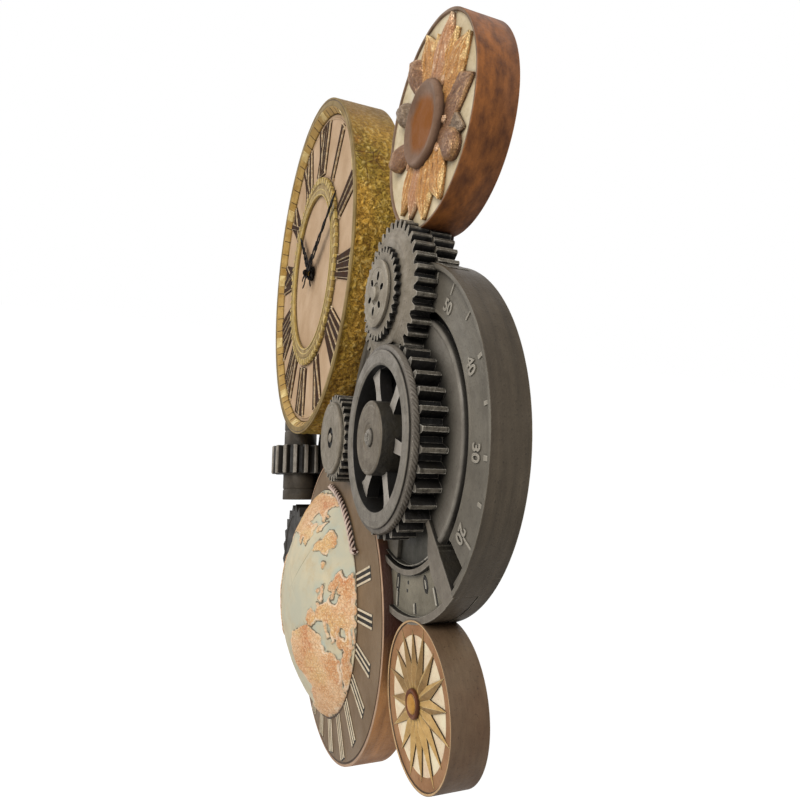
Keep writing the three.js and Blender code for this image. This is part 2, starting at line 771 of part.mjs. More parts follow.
const coilHeight = STATOR_LAYER[1] + SEAT + COIL_R;
const coil = solid(
  new THREE.CylinderGeometry(COIL_R, COIL_R, COIL_LENGTH, 16)
    .rotateZ(Math.PI / 2)
    .translate(coilMid.x, -coilHeight, coilMid.z),
);
piece("coil", coil, COPPER_WIRE);

const BOARD_SIZE = [7, 14];
const boardMid = inMovement(INNER / 2 - BOARD_SIZE[0] / 2 - SEAT, 17);
const boardBack = STATOR_LAYER[0];
const board = block(boardMid, ...BOARD_SIZE, boardBack, boardBack + 1.2);
piece("circuit_board", board, CIRCUIT_GREEN);

// Battery and its two contacts
const cellHeight = CHAMBER_FRONT - SEAT - CELL_R;
const cellZ = -INNER / 2 + bayTall / 2;
const alongX = (radius, from, to, sides) =>
  solid(
    new THREE.CylinderGeometry(radius, radius, to - from, sides)
      .rotateZ(Math.PI / 2)
      .translate(MAIN.x + (from + to) / 2, -cellHeight, MAIN.z + cellZ),
  );
const contactThick = 0.5;
const cellRight = INNER / 2 - 2 * SEAT - contactThick;
const cellLeft = cellRight - CELL_NUB - CELL_LENGTH;
const battery = join(
  alongX(CELL_R, cellLeft, cellRight - CELL_NUB, 24),
  alongX(CELL_NUB_R, cellRight - CELL_NUB - 1, cellRight, 16),
);
piece("battery", battery, CELL_SKIN);

const contactMid = (x) => inMovement(x, cellZ);
const plusX = INNER / 2 - SEAT - contactThick / 2;
const contactHalf = [cellHeight - 5, cellHeight + 5];
piece(
  "contact_plus",
  block(contactMid(plusX), contactThick, 10, ...contactHalf),
  STEEL,
);
const minusX = -plusX;
const springGap = cellLeft - SEAT - (minusX - contactThick / 2);
const contactMinus = join(
  block(contactMid(minusX), contactThick, 10, ...contactHalf),
  alongX(2.4, minusX, minusX - contactThick / 2 + springGap, 12),
);
piece("contact_minus", contactMinus, STEEL);

// A medallion's drum: a thick disc with a thin raised lip round a sunk face
function drum(centre, radius, height) {
  return spun(
    centre,
    [
      [0, BASE],
      [radius, BASE],
      [radius, height],
      [radius - MEDALLION_LIP, height],
      [radius - MEDALLION_LIP - 0.8, height - MEDALLION_RECESS],
      [0, height - MEDALLION_RECESS],
    ],
    facets(radius),
  );
}

// A domed boss on a medallion's face
function boss(centre, radius, back, rise, sides) {
  const profile = [[0, back]];
  const steps = 4;
  for (let i = 0; i <= steps; i++) {
    const turn = (i / steps) * (Math.PI / 2);
    profile.push([radius * Math.cos(turn), back + 1 + (rise - 1) * Math.sin(turn)]);
  }
  profile[profile.length - 1][0] = 0;
  profile.splice(1, 0, [radius, back]);
  return spun(centre, profile, sides);
}

// One leaf of the rosette: a pointed outline, raised along its middle
function leaf(bearing, from, to, width, back, rise) {
  const middle = (from + to) / 2;
  const at = (distance, across, height) => {
    const p = polar(ROSETTE, bearing, distance);
    const side = polar({ x: 0, z: 0 }, bearing + 90, across);
    return new THREE.Vector3(p.x + side.x, -height, p.z + side.z);
  };
  const rows = [
    [from, width * 0.18, rise * 0.8],
    [middle, width * 0.5, rise * 1.3],
    [from + (to - from) * 0.75, width * 0.4, rise * 0.9],
    [from + (to - from) * 0.92, width * 0.16, rise * 0.7],
  ];
  const top = [];
  const bottom = [];
  for (const [distance, half, high] of rows) {
    top.push([
      at(distance, -half, back + high * 0.35),
      at(distance, -half * 0.5, back + high),
      at(distance, 0, back + high * 0.7),
      at(distance, half * 0.5, back + high),
      at(distance, half, back + high * 0.35),
    ]);
    bottom.push([-1, -0.5, 0, 0.5, 1].map((k) => at(distance, half * k, back)));
  }
  const tipTop = at(to, 0, back + rise * 0.4);
  const tipBottom = at(to, 0, back);
  const triangles = [];
  const quad = (a, b, c, d) => triangles.push(a, b, c, a, c, d);
  for (let i = 0; i + 1 < rows.length; i++) {
    for (let k = 0; k < 4; k++) {
      quad(top[i][k], top[i][k + 1], top[i + 1][k + 1], top[i + 1][k]);
      quad(bottom[i][k + 1], bottom[i][k], bottom[i + 1][k], bottom[i + 1][k + 1]);
    }
    quad(bottom[i][0], top[i][0], top[i + 1][0], bottom[i + 1][0]);
    quad(top[i][4], bottom[i][4], bottom[i + 1][4], top[i + 1][4]);
  }
  const last = rows.length - 1;
  for (let k = 0; k < 4; k++) {
    triangles.push(top[last][k], top[last][k + 1], tipTop);
    triangles.push(bottom[last][k + 1], bottom[last][k], tipBottom);
    quad(bottom[0][k], bottom[0][k + 1], top[0][k + 1], top[0][k]);
  }
  quad(bottom[last][0], top[last][0], tipTop, tipBottom);
  quad(top[last][4], bottom[last][4], tipBottom, tipTop);
  return solid(new THREE.BufferGeometry().setFromPoints(triangles));
}

const rosetteFace = ROSETTE_HEIGHT - MEDALLION_RECESS;
piece(
  "rosette_drum",
  cut(drum(ROSETTE, ROSETTE_R, ROSETTE_HEIGHT), screwHole(screwPlaces[4])),
  COPPER_BROWN,
);
function rosetteLeaves() {
  const back = rosetteFace + SEAT;
  const reach = ROSETTE_R - MEDALLION_LIP - 2;
  const discFront = back + LEAF_DISC_THICK;
  const leaves = [rod(ROSETTE, ROSETTE_BOSS_R + LEAF_DISC_MARGIN, back, discFront, 24)];
  for (let i = 0; i < LEAF_COUNT; i++) {
    const lobeReach = i % 3 === 0 ? reach : reach * 0.96;
    leaves.push(leaf((i * 360) / LEAF_COUNT, LEAF_START, lobeReach, LEAF_WIDTH, back, LEAF_RISE));
  }
  for (let i = 0; i < SEPAL_COUNT; i++) {
    const at = ((i + 0.5) * 360) / SEPAL_COUNT;
    leaves.push(leaf(at, LEAF_START, reach * 0.88, LEAF_WIDTH * 0.5, back, LEAF_RISE * 1.3));
  }
  const socket = rod(ROSETTE, ROSETTE_BOSS_R + SEAT, discFront, TOP, 24);
  return largest(cut(join(...leaves), socket, keep(UPPER, UPPER_TIP, ROSETTE_HEIGHT, TOP)));
}
piece("rosette_leaves", rosetteLeaves(), BRONZE);
piece(
  "rosette_boss",
  boss(ROSETTE, ROSETTE_BOSS_R, rosetteFace + 2 * SEAT + LEAF_DISC_THICK, ROSETTE_BOSS_RISE, 20),
  BRONZE,
);

// Sun medallion with a faceted star
const sunFace = SUN_HEIGHT - MEDALLION_RECESS;
piece(
  "sun_drum",
  cut(drum(SUN, SUN_R, SUN_HEIGHT), screwHole(screwPlaces[5])),
  TAUPE,
);
function sunStar() {
  const back = sunFace + SEAT;
  const count = STAR_POINTS * 2;
  const ring = (height) => {
    const points = [];
    for (let i = 0; i < count; i++) {
      const long = i % 4 === 0;
      const tip = long ? STAR_R : STAR_R * SHORT_RAY;
      const p = polar(SUN, (i * 360) / count, i % 2 ? STAR_VALLEY_R : tip);
      points.push(new THREE.Vector3(p.x, -height, p.z));
    }
    return points;
  };
  const low = ring(back);
  const high = ring(back + 0.8);
  const lowMid = new THREE.Vector3(SUN.x, -back, SUN.z);
  const highMid = new THREE.Vector3(SUN.x, -(back + STAR_RISE), SUN.z);
  const triangles = [];
  for (let i = 0; i < high.length; i++) {
    const j = (i + 1) % high.length;
    triangles.push(high[i], high[j], highMid, low[j], low[i], lowMid);
    triangles.push(low[i], low[j], high[j], low[i], high[j], high[i]);
  }
  const star = solid(new THREE.BufferGeometry().setFromPoints(triangles));
  return cut(star, rod(SUN, SUN_BOSS_R + SEAT, back + STAR_FLOOR, TOP, 20));
}
piece("sun_star", sunStar(), PALE_GOLD);
piece(
  "sun_boss",
  boss(SUN, SUN_BOSS_R, sunFace + 2 * SEAT + STAR_FLOOR, SUN_BOSS_RISE, 14),
  BRONZE,
);


// Number dial: a dished disc with a ridge at its edge and a groove round its middle
function numberDial() {
  const disc = spun(
    DIAL,
    [
      [0, BASE],
      [DIAL_R, BASE],
      [DIAL_R, RIDGE_HEIGHT - 0.8],
      [DIAL_R - 0.8, RIDGE_HEIGHT],
      [DIAL_R - RIDGE_WIDTH + 0.8, RIDGE_HEIGHT],
      [DIAL_R - RIDGE_WIDTH, NUMBER_FACE],
      [GROOVE_OUT, NUMBER_FACE],
      [GROOVE_OUT, GROOVE_FLOOR],
      [0, GROOVE_FLOOR],
    ],
    facets(DIAL_R),
  );
  const pocket = sectorShape(DIAL, INNER_ARC[0] - SEAT, DIAL_R + 9, SLOT_FROM, ARC_END + 8);
  return largest(
    cut(
      disc,
      slab(pocket, SLOT_FLOOR, TOP),
      globeKeep(),
      mainKeep(),
      keep(SUN, SUN_R, -1, TOP),
      keep(UPPER, UPPER_TIP, NUMBER_FACE, TOP),
      keep(SMALL, SMALL_TIP, NUMBER_FACE, TOP),
      screwHole(screwPlaces[2]),
    ),
  );
}
piece("number_dial", numberDial(), PEWTER);
piece(
  "inner_disc",
  cut(rod(DIAL, GROOVE_IN, GROOVE_FLOOR + SEAT, NUMBER_FACE), globeKeep()),
  PEWTER,
);

// Large spur gear, its collar, and the spoked wheel in its bore
const sleeveOuter = WHEEL_IN + SLEEVE_WALL;
const largeBack = NUMBER_FACE + SEAT;
const largeGear = largest(
  cut(
    slab(gearShape(DIAL, LARGE_TEETH, LARGE_TIP, LARGE_ROOT, 0.26, 0.36), largeBack, LARGE_FRONT),
    rod(DIAL, sleeveOuter + SEAT, 0, TOP, facets(WHEEL_R)),
    keep(UPPER, UPPER_TIP, 0, TOP),
    globeKeep(),
  ),
);
piece("large_gear", largeGear, DARK_PEWTER);

const collarBack = LARGE_FRONT + SEAT;
const collar = turned(
  DIAL,
  [
    [COLLAR_R, collarBack],
    [COLLAR_R, collarBack + COLLAR_THICK - 0.8],
    [COLLAR_R - 1.2, collarBack + COLLAR_THICK],
    [sleeveOuter + SEAT, collarBack + COLLAR_THICK],
    [sleeveOuter + SEAT, collarBack],
  ],
  facets(WHEEL_R),
);
piece("knurled_collar", collar, PEWTER);

function spokedWheel() {
  const ringBack = collarBack + COLLAR_THICK + SEAT;
  const ring = turned(
    DIAL,
    [
      [WHEEL_R, ringBack],
      [WHEEL_R, WHEEL_FRONT - 0.6],
      [WHEEL_R - 0.6, WHEEL_FRONT],
      [WHEEL_IN + 0.6, WHEEL_FRONT],
      [WHEEL_IN, WHEEL_FRONT - 0.6],
      [WHEEL_IN, largeBack],
      [sleeveOuter, largeBack],
      [sleeveOuter, ringBack],
    ],
    facets(WHEEL_R),
  );
  const spokes = [];
  for (let i = 0; i < SPOKES; i++) {
    const at = 30 + (i * 360) / SPOKES;
    const from = polar(DIAL, at, HUB_R + SEAT - SPOKE_BITE);
    const to = polar(DIAL, at, WHEEL_IN + SPOKE_BITE);
    const inner = polar({ x: 0, z: 0 }, at + 90, SPOKE_WIDTH / 2);
    const outer = polar({ x: 0, z: 0 }, at + 90, SPOKE_WIDTH / 2 + SPOKE_FLARE);
    const shape = shapeOf([
      { x: from.x - inner.x, z: from.z - inner.z },
      { x: to.x - outer.x, z: to.z - outer.z },
      { x: to.x + outer.x, z: to.z + outer.z },
      { x: from.x + inner.x, z: from.z + inner.z },
    ]);
    spokes.push(slab(shape, SPOKE_BACK, SPOKE_FRONT));
  }
  return cut(join(ring, ...spokes), rod(DIAL, HUB_R + SEAT, 0, TOP, facets(HUB_R)));
}
piece("spoked_wheel", spokedWheel(), PEWTER);

const hubScrewR = 5.2;
const wheelHub = cut(
  spun(
    DIAL,
    [
      [0, largeBack],
      [HUB_R, largeBack],
      [HUB_R, HUB_FRONT - 0.6],
      [HUB_R - 0.6, HUB_FRONT],
      [0, HUB_FRONT],
    ],
    facets(HUB_R),
  ),
  rod(DIAL, hubScrewR + SEAT, HUB_FRONT - 3, TOP, 16),
);
piece("wheel_hub", wheelHub, PEWTER);
const hubBolt = join(
  rod(DIAL, hubScrewR, HUB_FRONT - 3 + SEAT, HUB_FRONT + 0.4, 16),
  rod(DIAL, 2.6, HUB_FRONT - 1, HUB_FRONT + 1.6, 6),
);
piece("hub_bolt", hubBolt, PEWTER);

// Upper gears: a base that fills down to the backing, and two gears on the dial's edge
const upperShape = (phase) =>
  gearShape(UPPER, UPPER_TEETH, UPPER_TIP, UPPER_ROOT, 0.28, 0.34, phase);
const upperBaseFront = NUMBER_FACE - SEAT;
piece(
  "upper_gear_base",
  largest(
    cut(
      slab(upperShape(3), BASE, upperBaseFront),
      keep(DIAL, DIAL_R, -1, TOP),
      keep(ROSETTE, ROSETTE_R, -1, TOP),
      mainKeep(),
    ),
  ),
  DARK_PEWTER,
);
const upperDiscFront = UPPER_FRONT + UPPER_DISC_RISE;
function upperGear() {
  const dished = spun(
    UPPER,
    [
      [0, UPPER_FRONT - 2],
      [UPPER_DISC_R + 1.6, UPPER_FRONT - 2],
      [UPPER_DISC_R, upperDiscFront],
      [0, upperDiscFront],
    ],
    40,
  );
  return largest(
    cut(
      join(slab(upperShape(0), NUMBER_FACE + SEAT, UPPER_FRONT), dished),
      rod(DIAL, LARGE_ROOT, 0, TOP),
      keep(DIAL, COLLAR_R, collarBack - SEAT, TOP),
      keep(ROSETTE, ROSETTE_R, -1, ROSETTE_HEIGHT + SEAT),
      mainKeep(),
    ),
  );
}
piece("upper_gear", upperGear(), PEWTER);
const topBack = upperDiscFront + SEAT;
const topFront = topBack + TOP_THICK;
piece(
  "top_gear",
  slab(gearShape(UPPER, TOP_TEETH, TOP_TIP, TOP_ROOT, 0.24, 0.3), topBack, topFront),
  PEWTER,
);
function topCap() {
  const back = topFront + SEAT;
  const front = back + CAP_THICK;
  const slots = [];
  for (let i = 0; i < CAP_SLOTS; i++) {
    const middle = polar(UPPER, (i * 360) / CAP_SLOTS, CAP_SLOT_AT);
    const slot = new THREE.Shape().absellipse(middle.x, middle.z, 2.4, 2.9, 0, Math.PI * 2);
    slots.push(slab(slot, back + 0.4, front + 1, 5));
  }
  const disc = join(
    rod(UPPER, CAP_R, back, front, 32),
    rod(UPPER, CAP_BOSS_R, front - 1, front + CAP_BOSS_RISE, 20),
  );
  return cut(disc, ...slots);
}
piece("top_gear_cap", topCap(), PEWTER);

// Small gear beside the wheel, over the edges of the dial and the globe's ring
const smallGear = largest(
  cut(
    slab(gearShape(SMALL, SMALL_TEETH, SMALL_TIP, SMALL_ROOT, 0.26, 0.32), BASE, SMALL_FRONT),
    keep(DIAL, DIAL_R, -1, NUMBER_FACE + SEAT),
    keep(GLOBE, GLOBE_RING_R, -1, GLOBE_RING_HEIGHT + SEAT),
    keep(DIAL, LARGE_TIP, -1, TOP),
    mainKeep(),
  ),
);
piece("small_gear", smallGear, PEWTER);
const smallCapBack = SMALL_FRONT + SEAT;
const smallCapFront = smallCapBack + SMALL_CAP_THICK;
const ringSlot = turned(
  SMALL,
  [
    [SLOT_OUT, smallCapBack + 0.5],
    [SLOT_OUT, smallCapFront + 1],
    [SLOT_IN, smallCapFront + 1],
    [SLOT_IN, smallCapBack + 0.5],
  ],
  24,
);
piece(
  "small_gear_cap",
  cut(rod(SMALL, SMALL_CAP_R, smallCapBack, smallCapFront, 32), ringSlot),
  PEWTER,
);

// Pinion: a toothed band between two plain drums, lying along the wall and flat where it meets it
function pinionRoller() {
  const axis = (geometry) =>
    solid(
      geometry
        .rotateY(rad(-PINION_LEAN))
        .translate(PINION.x, -PINION_AXIS_HEIGHT, PINION.z),
    );
  const flat = gearShape({ x: 0, z: 0 }, PINION_TEETH, PINION_TIP, PINION_ROOT, 0.28, 0.34);
  const band = new THREE.ExtrudeGeometry(flat, { depth: PINION_FACE, bevelEnabled: false });
  const bandZ = band.translate(0, 0, -PINION_FACE / 2);
  const length = PINION_FACE + 2 * DRUM_LENGTH;
  const shaft = new THREE.CylinderGeometry(DRUM_R, DRUM_R, length, 28).rotateX(Math.PI / 2);
  const wallSide = block(PINION, 200, 200, -60, BASE);
  return cut(join(axis(bandZ), axis(shaft)), wallSide, mainKeep());
}
piece("pinion_roller", pinionRoller(), DARK_PEWTER);

// Rear gear with pointed teeth, tucked against the globe's ring
const rearGear = largest(
  cut(
    slab(gearShape(REAR, REAR_TEETH, REAR_TIP, REAR_ROOT, 0.08, 0.2, 4), BASE, REAR_FRONT),
    globeKeep(),
  ),
);
piece("rear_gear", rearGear, DARK_PEWTER);

// Bars on the globe's ring, in groups of three that point to the middle of the dome
function ringBars() {
  const offset = { x: DOME.x - GLOBE.x, z: DOME.z - GLOBE.z };
  const bars = [];
  for (let i = 0; i < RING_BAR_GROUPS; i++) {
    const bearing = 58 + i * 15;
    const ray = polar({ x: 0, z: 0 }, bearing, 1);
    const side = polar({ x: 0, z: 0 }, bearing + 90, 1);
    const along = ray.x * offset.x + ray.z * offset.z;
    const rest = GLOBE_RING_R ** 2 - offset.x ** 2 - offset.z ** 2;
    const ringEdge = -along + Math.sqrt(along ** 2 + rest);
    const end = Math.min(RING_BAR_END, ringEdge - 2.5 * RING_BAR_WIDTH);
    const at = (distance, across) => ({
      x: DOME.x + ray.x * distance + side.x * across,
      z: DOME.z + ray.z * distance + side.z * across,
    });
    for (const step of [-1, 0, 1]) {
      const middle = step * RING_BAR_PITCH;
      const half = RING_BAR_WIDTH / 2;
      const start = DOME_R + 4 * SEAT;
      const shape = shapeOf([
        at(start, middle - half),
        at(start, middle + half),
        at(end, middle + half),
        at(end, middle - half),
      ]);
      bars.push(slab(shape, GLOBE_RING_HEIGHT - 1, GLOBE_RING_HEIGHT + RING_BAR_RISE));
    }
  }
  return bars;
}

// Globe: a thick ring disc, a dome set off its middle and a rope trim round part of the dome
piece(
  "globe_ring",
  cut(
    join(rod(GLOBE, GLOBE_RING_R, BASE, GLOBE_RING_HEIGHT), ...ringBars()),
    mainKeep(),
    screwHole(screwPlaces[3]),
  ),
  TAUPE,
);
function globeDome() {
  const back = GLOBE_RING_HEIGHT + SEAT;
  const edge = back + 0.6;
  const sphereR = (DOME_R * DOME_R + DOME_RISE * DOME_RISE) / (2 * DOME_RISE);
  const half = Math.asin(DOME_R / sphereR);
  const steps = 7;
  const profile = [
    [0, back],
    [DOME_R, back],
  ];
  for (let i = 0; i <= steps; i++) {
    const turn = half * (1 - i / steps);
    const height = edge + DOME_RISE - sphereR * (1 - Math.cos(turn));
    profile.push([i === steps ? 0 : sphereR * Math.sin(turn), height]);
  }
  return spun(DOME, profile, 40);
}
piece("globe_dome", globeDome(), SEA);
function ropeTrim() {
  const height = GLOBE_RING_HEIGHT + SEAT + ROPE_R;
  const points = [];
  const steps = 16;
  for (let i = 0; i <= steps; i++) {
    const p = polar(DOME, ROPE_FROM + ((ROPE_TO - ROPE_FROM) * i) / steps, ROPE_AT);
    points.push(new THREE.Vector3(p.x, -height, p.z));
  }
  const hook = polar(DOME, ROPE_TO + 2, ROPE_AT + 5);
  points.push(new THREE.Vector3(hook.x, -height, hook.z));
  const section = new THREE.Shape();
  section.absarc(0, 0, ROPE_R, 0, Math.PI * 2);
  const geometry = new THREE.ExtrudeGeometry(section, {
    steps: 18,
    curveSegments: 3,
    extrudePath: new THREE.CatmullRomCurve3(points),
  });
  return solid(geometry);
}
piece("rope_trim", ropeTrim(), PALE_GOLD);

// Sextant: an arm and two arcs, with a lower scale plate between the arcs
const [innerFrom, innerTo] = INNER_ARC;
const [outerFrom, outerTo] = OUTER_ARC;
const [armRight, armLeft] = ARM_ANGLES;
const sextantBack = SLOT_FLOOR + SEAT;
const clearOfNeighbours = (made) =>
  largest(cut(made, globeKeep(), keep(SUN, SUN_R, -1, TOP), keep(DIAL, LARGE_TIP, -1, TOP)));
const arc = (inner, outer, from, to, back) =>
  slab(sectorShape(DIAL, inner, outer, from, to), back, SEXTANT_FRONT);
const sextantFrame = clearOfNeighbours(
  join(
    arc(innerFrom, innerTo, armRight, ARC_END, sextantBack),
    arc(outerFrom, outerTo, armRight, ARC_END, sextantBack),
    arc(innerFrom, outerTo, armRight, ARM_PLATE_ANGLE, sextantBack),
    arc(ARM_FROM, innerTo, armRight, armLeft, NUMBER_FACE + SEAT),
  ),
);
piece("sextant_frame", sextantFrame, PEWTER);
const scaleShape = sectorShape(
  DIAL,
  innerTo + SEAT,
  outerFrom - SEAT,
  ARM_PLATE_ANGLE + 0.3,
  ARC_END,
);
piece(
  "sextant_scale",
  clearOfNeighbours(slab(scaleShape, sextantBack, SCALE_FRONT)),
  DARK_PEWTER,
);

export default clock;
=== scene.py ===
# %% [markdown]
# A sculptural wall clock, dressed in Blender round its imported CAD model.
# The CAD model is the fixed frame: the main centres, radii and heights below are its own, in
# millimetres, and every piece sits on the body that carries it. We load the frame first and measure
# the width of its main drum. The dressed clock may not grow out of it.

# %% Load the frame
import math
import bmesh
import bpy
import numpy as np
from mathutils import Matrix, Vector, noise


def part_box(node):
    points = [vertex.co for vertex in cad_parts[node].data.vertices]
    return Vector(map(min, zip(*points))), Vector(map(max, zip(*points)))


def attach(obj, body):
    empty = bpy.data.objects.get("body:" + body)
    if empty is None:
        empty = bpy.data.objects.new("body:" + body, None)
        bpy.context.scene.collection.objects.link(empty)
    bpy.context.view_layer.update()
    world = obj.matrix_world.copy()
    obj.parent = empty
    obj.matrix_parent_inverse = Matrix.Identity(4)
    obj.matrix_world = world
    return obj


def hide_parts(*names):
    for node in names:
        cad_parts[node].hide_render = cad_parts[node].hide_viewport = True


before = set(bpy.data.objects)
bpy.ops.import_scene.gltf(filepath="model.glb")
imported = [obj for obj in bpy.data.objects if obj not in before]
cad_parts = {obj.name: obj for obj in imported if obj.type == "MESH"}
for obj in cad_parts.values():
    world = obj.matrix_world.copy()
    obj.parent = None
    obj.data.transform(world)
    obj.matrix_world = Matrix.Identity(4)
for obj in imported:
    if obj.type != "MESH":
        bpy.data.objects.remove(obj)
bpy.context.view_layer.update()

scene = bpy.context.scene
scene.view_settings.view_transform = "Standard"
print("nodes:", len(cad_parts))

# %% [markdown]
# The clock hangs on a wall with its face towards -Y, so a place on its front is a bearing, a radius
# and a height off the wall. A bearing is read as on a clock: 0 at the top and growing clockwise.
# The centres and radii below are those of the castings.

# %% Centres and radii of the castings
MM = 0.001
MAIN = (-107.8, -66.4)
ROSETTE = (124.4, 7.4)
SUN = (193.0, -313.4)
DIAL = (132.5, -179.8)
GLOBE = (36.4, -326.5)
DOME = (13.0, -335.0)
UPPER = (108.4, -93.0)
SMALL = (42.0, -197.2)
REAR = (-115.0, -352.0)
PINION = (-136.4, -254.5)
BASE = 5.3
GAP = 0.3
SKIRT = 0.4
WALL = 0.05
MAIN_R = 153.0
ROSETTE_R = 61.3
SUN_R = 42.7
DIAL_R = 107.0
GLOBE_R = 112.4
DOME_R = 87.0


def at(centre, bearing, radius, height):
    """A point in mm, from a bearing in degrees, a radius and a height off the wall."""
    turn = math.radians(bearing)
    return Vector((centre[0] + radius * math.sin(turn), -height, centre[1] + radius * math.cos(turn)))


low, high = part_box("main_case")
print("main drum across:", round((high.x - low.x) / MM, 1), "mm")

# %% [markdown]
# Nearly every casting here is a lathe-turned ring, a gear or a bar. All three can be skinned from
# loops of points: a ring is one profile at many bearings, and a gear is one outline at many heights.
# So one function joins neighbouring loops with quads, and the rest only works out the loops.

# %% Skin loops of points into a surface
def skin(loops, around=True, closed=True, capped=False):
    """Quads between neighbouring loops. around joins the last loop to the first, closed joins each
    loop's last point to its first, and capped closes the two ends with one face each."""
    size = len(loops[0])
    points = [p for loop in loops for p in loop]
    faces = []
    for i in range(len(loops) if around else len(loops) - 1):
        a = i * size
        b = ((i + 1) % len(loops)) * size
        for k in range(size if closed else size - 1):
            n = (k + 1) % size
            faces.append((a + k, a + n, b + n, b + k))
    if capped:
        faces.append(tuple(range(size)))
        faces.append(tuple(range((len(loops) - 1) * size, len(loops) * size)))
    return points, faces


def rounded(profile, size, steps=3, closed=True):
    """The same profile with each corner eased by a short curve."""
    eased = []
    count = len(profile)
    for i, corner in enumerate(profile):
        if not closed and i in (0, count - 1):
            eased.append(corner)
            continue
        here = Vector(corner)
        before = Vector(profile[i - 1]) - here
        after = Vector(profile[(i + 1) % count]) - here
        reach = min(size, before.length * 0.45, after.length * 0.45)
        start = here + before.normalized() * reach
        end = here + after.normalized() * reach
        for k in range(steps + 1):
            t = k / steps
            eased.append(tuple(start * (1 - t) ** 2 + here * 2 * t * (1 - t) + end * t * t))
    return eased


def turned(centre, profile, steps=180, start=0.0, stop=360.0):
    """A profile of (radius, height) points swept round a centre, as on a lathe."""
    whole = stop - start >= 360
    bearings = [start + (stop - start) * i / steps for i in range(steps if whole else steps + 1)]
    loops = [[at(centre, bearing, r, h) for r, h in profile] for bearing in bearings]
    return skin(loops, around=whole, closed=True, capped=not whole)


def skirted(radius, front):
    """A casting's section: its front line, then a thin skirt over the board's edge down to the wall."""
    return [(0, BASE), (radius - SKIRT, BASE), (radius - SKIRT, WALL), (radius, WALL)] + front[1:]


print("skin of a square ring:", len(turned((0, 0), [(1, 0), (2, 0), (2, 1), (1, 1)])[1]), "faces")

# %% [markdown]
# A gear's outline is a list of (bearing, radius) pairs. Cast teeth are a little rounded, so each has
# points on its flanks as well as at its corners. Where two gears share the same layer, the outline of
# one stops at the other's circle.

# %% Gear outlines and bars
def teeth(count, tip, root, tip_share=0.28, root_share=0.34, phase=0.0):
    """A gear's outline: root, bulged flank, tip, flank and root again for each tooth."""
    pitch = 360 / count
    foot = (1 - root_share) / 2
    head = tip_share / 2
    steps = [(-foot, 0.0), (-foot + 0.03, 0.22), (-head - 0.045, 0.78), (-head + 0.01, 0.97), (0, 1.0)]
    steps += [(-share, rise) for share, rise in reversed(steps[:4])]
    steps.append((0.5, -0.02))
    return [
        (phase + pitch * (i + share), root + (tip - root) * rise)
        for i in range(count)
        for share, rise in steps
    ]


def outside(centre, outline, other, radius):
    """The outline with every point drawn back to where its bearing meets another circle."""
    kept = []
    for bearing, reach in outline:
        turn = math.radians(bearing)
        ray = Vector((math.sin(turn), math.cos(turn)))
        to_other = Vector(other) - Vector(centre)
        along = ray.dot(to_other)
        across = to_other.length_squared - along * along
        if along > 0 and across < radius * radius:
            reach = min(reach, along - math.sqrt(radius * radius - across))
        kept.append((bearing, reach))
    return kept


def gear(centre, outline, back, front, inner, hole=0.0):
    """A gear from its outline. inner lists (radius, height) of the rings on its face, outside first."""
    bearings = [bearing for bearing, _ in outline]
    loops = [[at(centre, b, r, back) for b, r in outline], [at(centre, b, r, front) for b, r in outline]]
    loops += [[at(centre, b, r, h) for b in bearings] for r, h in inner]
    if hole:
        loops += [[at(centre, b, hole, h) for b in bearings] for h in (inner[-1][1], back)]
        return skin(loops, around=True)
    return skin(loops, around=False, capped=True)


# %% Blocks and bars
def prism(corners, back, front):
    """A flat-sided block from its outline, a list of (x, z) places."""
    loops = [[Vector((x, -h, z)) for x, z in corners] for h in (back, front)]
    return skin(loops, around=False, capped=True)


def angles(step, stop=360):
    """Angles in radians, a number of degrees apart."""
    return [math.radians(degrees) for degrees in range(0, stop, step)]


def place(centre, bearing, radius, across=0.0):
    """An (x, z) place at a bearing and radius, moved across to the clockwise side."""
    turn = math.radians(bearing)
    along = (math.sin(turn), math.cos(turn))
    return (centre[0] + radius * along[0] + across * along[1],
            centre[1] + radius * along[1] - across * along[0])


def bar(centre, bearing, inner, outer, half, back, front, outer_half=None):
    """A bar that lies along a bearing."""
    wide = half if outer_half is None else outer_half
    corners = [place(centre, bearing, inner, -half), place(centre, bearing, outer, -wide),
               place(centre, bearing, outer, wide), place(centre, bearing, inner, half)]
    return prism(corners, back, front)


print("large gear outline:", len(teeth(34, 60, 52.6)), "points")

# %% [markdown]
# A piece is often several such shapes. A Form gathers them, and build() turns it into a Blender
# object: it merges doubled points, faces the surface outwards, shades it smooth up to an angle,
# eases its edges with a Bevel modifier and puts it on its body.

# %% Gather shapes and build pieces
class Form:
    def __init__(self, *shapes):
        self.points = []
        self.faces = []
        self.looks = []
        for shape in shapes:
            self.add(shape)

    def add(self, shape, look=0):
        points, faces = shape
        first = len(self.points)
        self.points += points
        self.faces += [tuple(i + first for i in face) for face in faces]
        self.looks += [look] * len(faces)
        return self


def mesh_of(name, form, merge=0.004):
    mesh = bpy.data.meshes.new(name)
    mesh.from_pydata([p * MM for p in form.points], [], form.faces)
    mesh.polygons.foreach_set("material_index", form.looks)
    work = bmesh.new()
    work.from_mesh(mesh)
    bmesh.ops.remove_doubles(work, verts=work.verts, dist=merge * MM)
    bmesh.ops.dissolve_degenerate(work, edges=work.edges, dist=merge * MM / 2)
    bmesh.ops.recalc_face_normals(work, faces=work.faces)
    work.to_mesh(mesh)
    work.free()
    return mesh


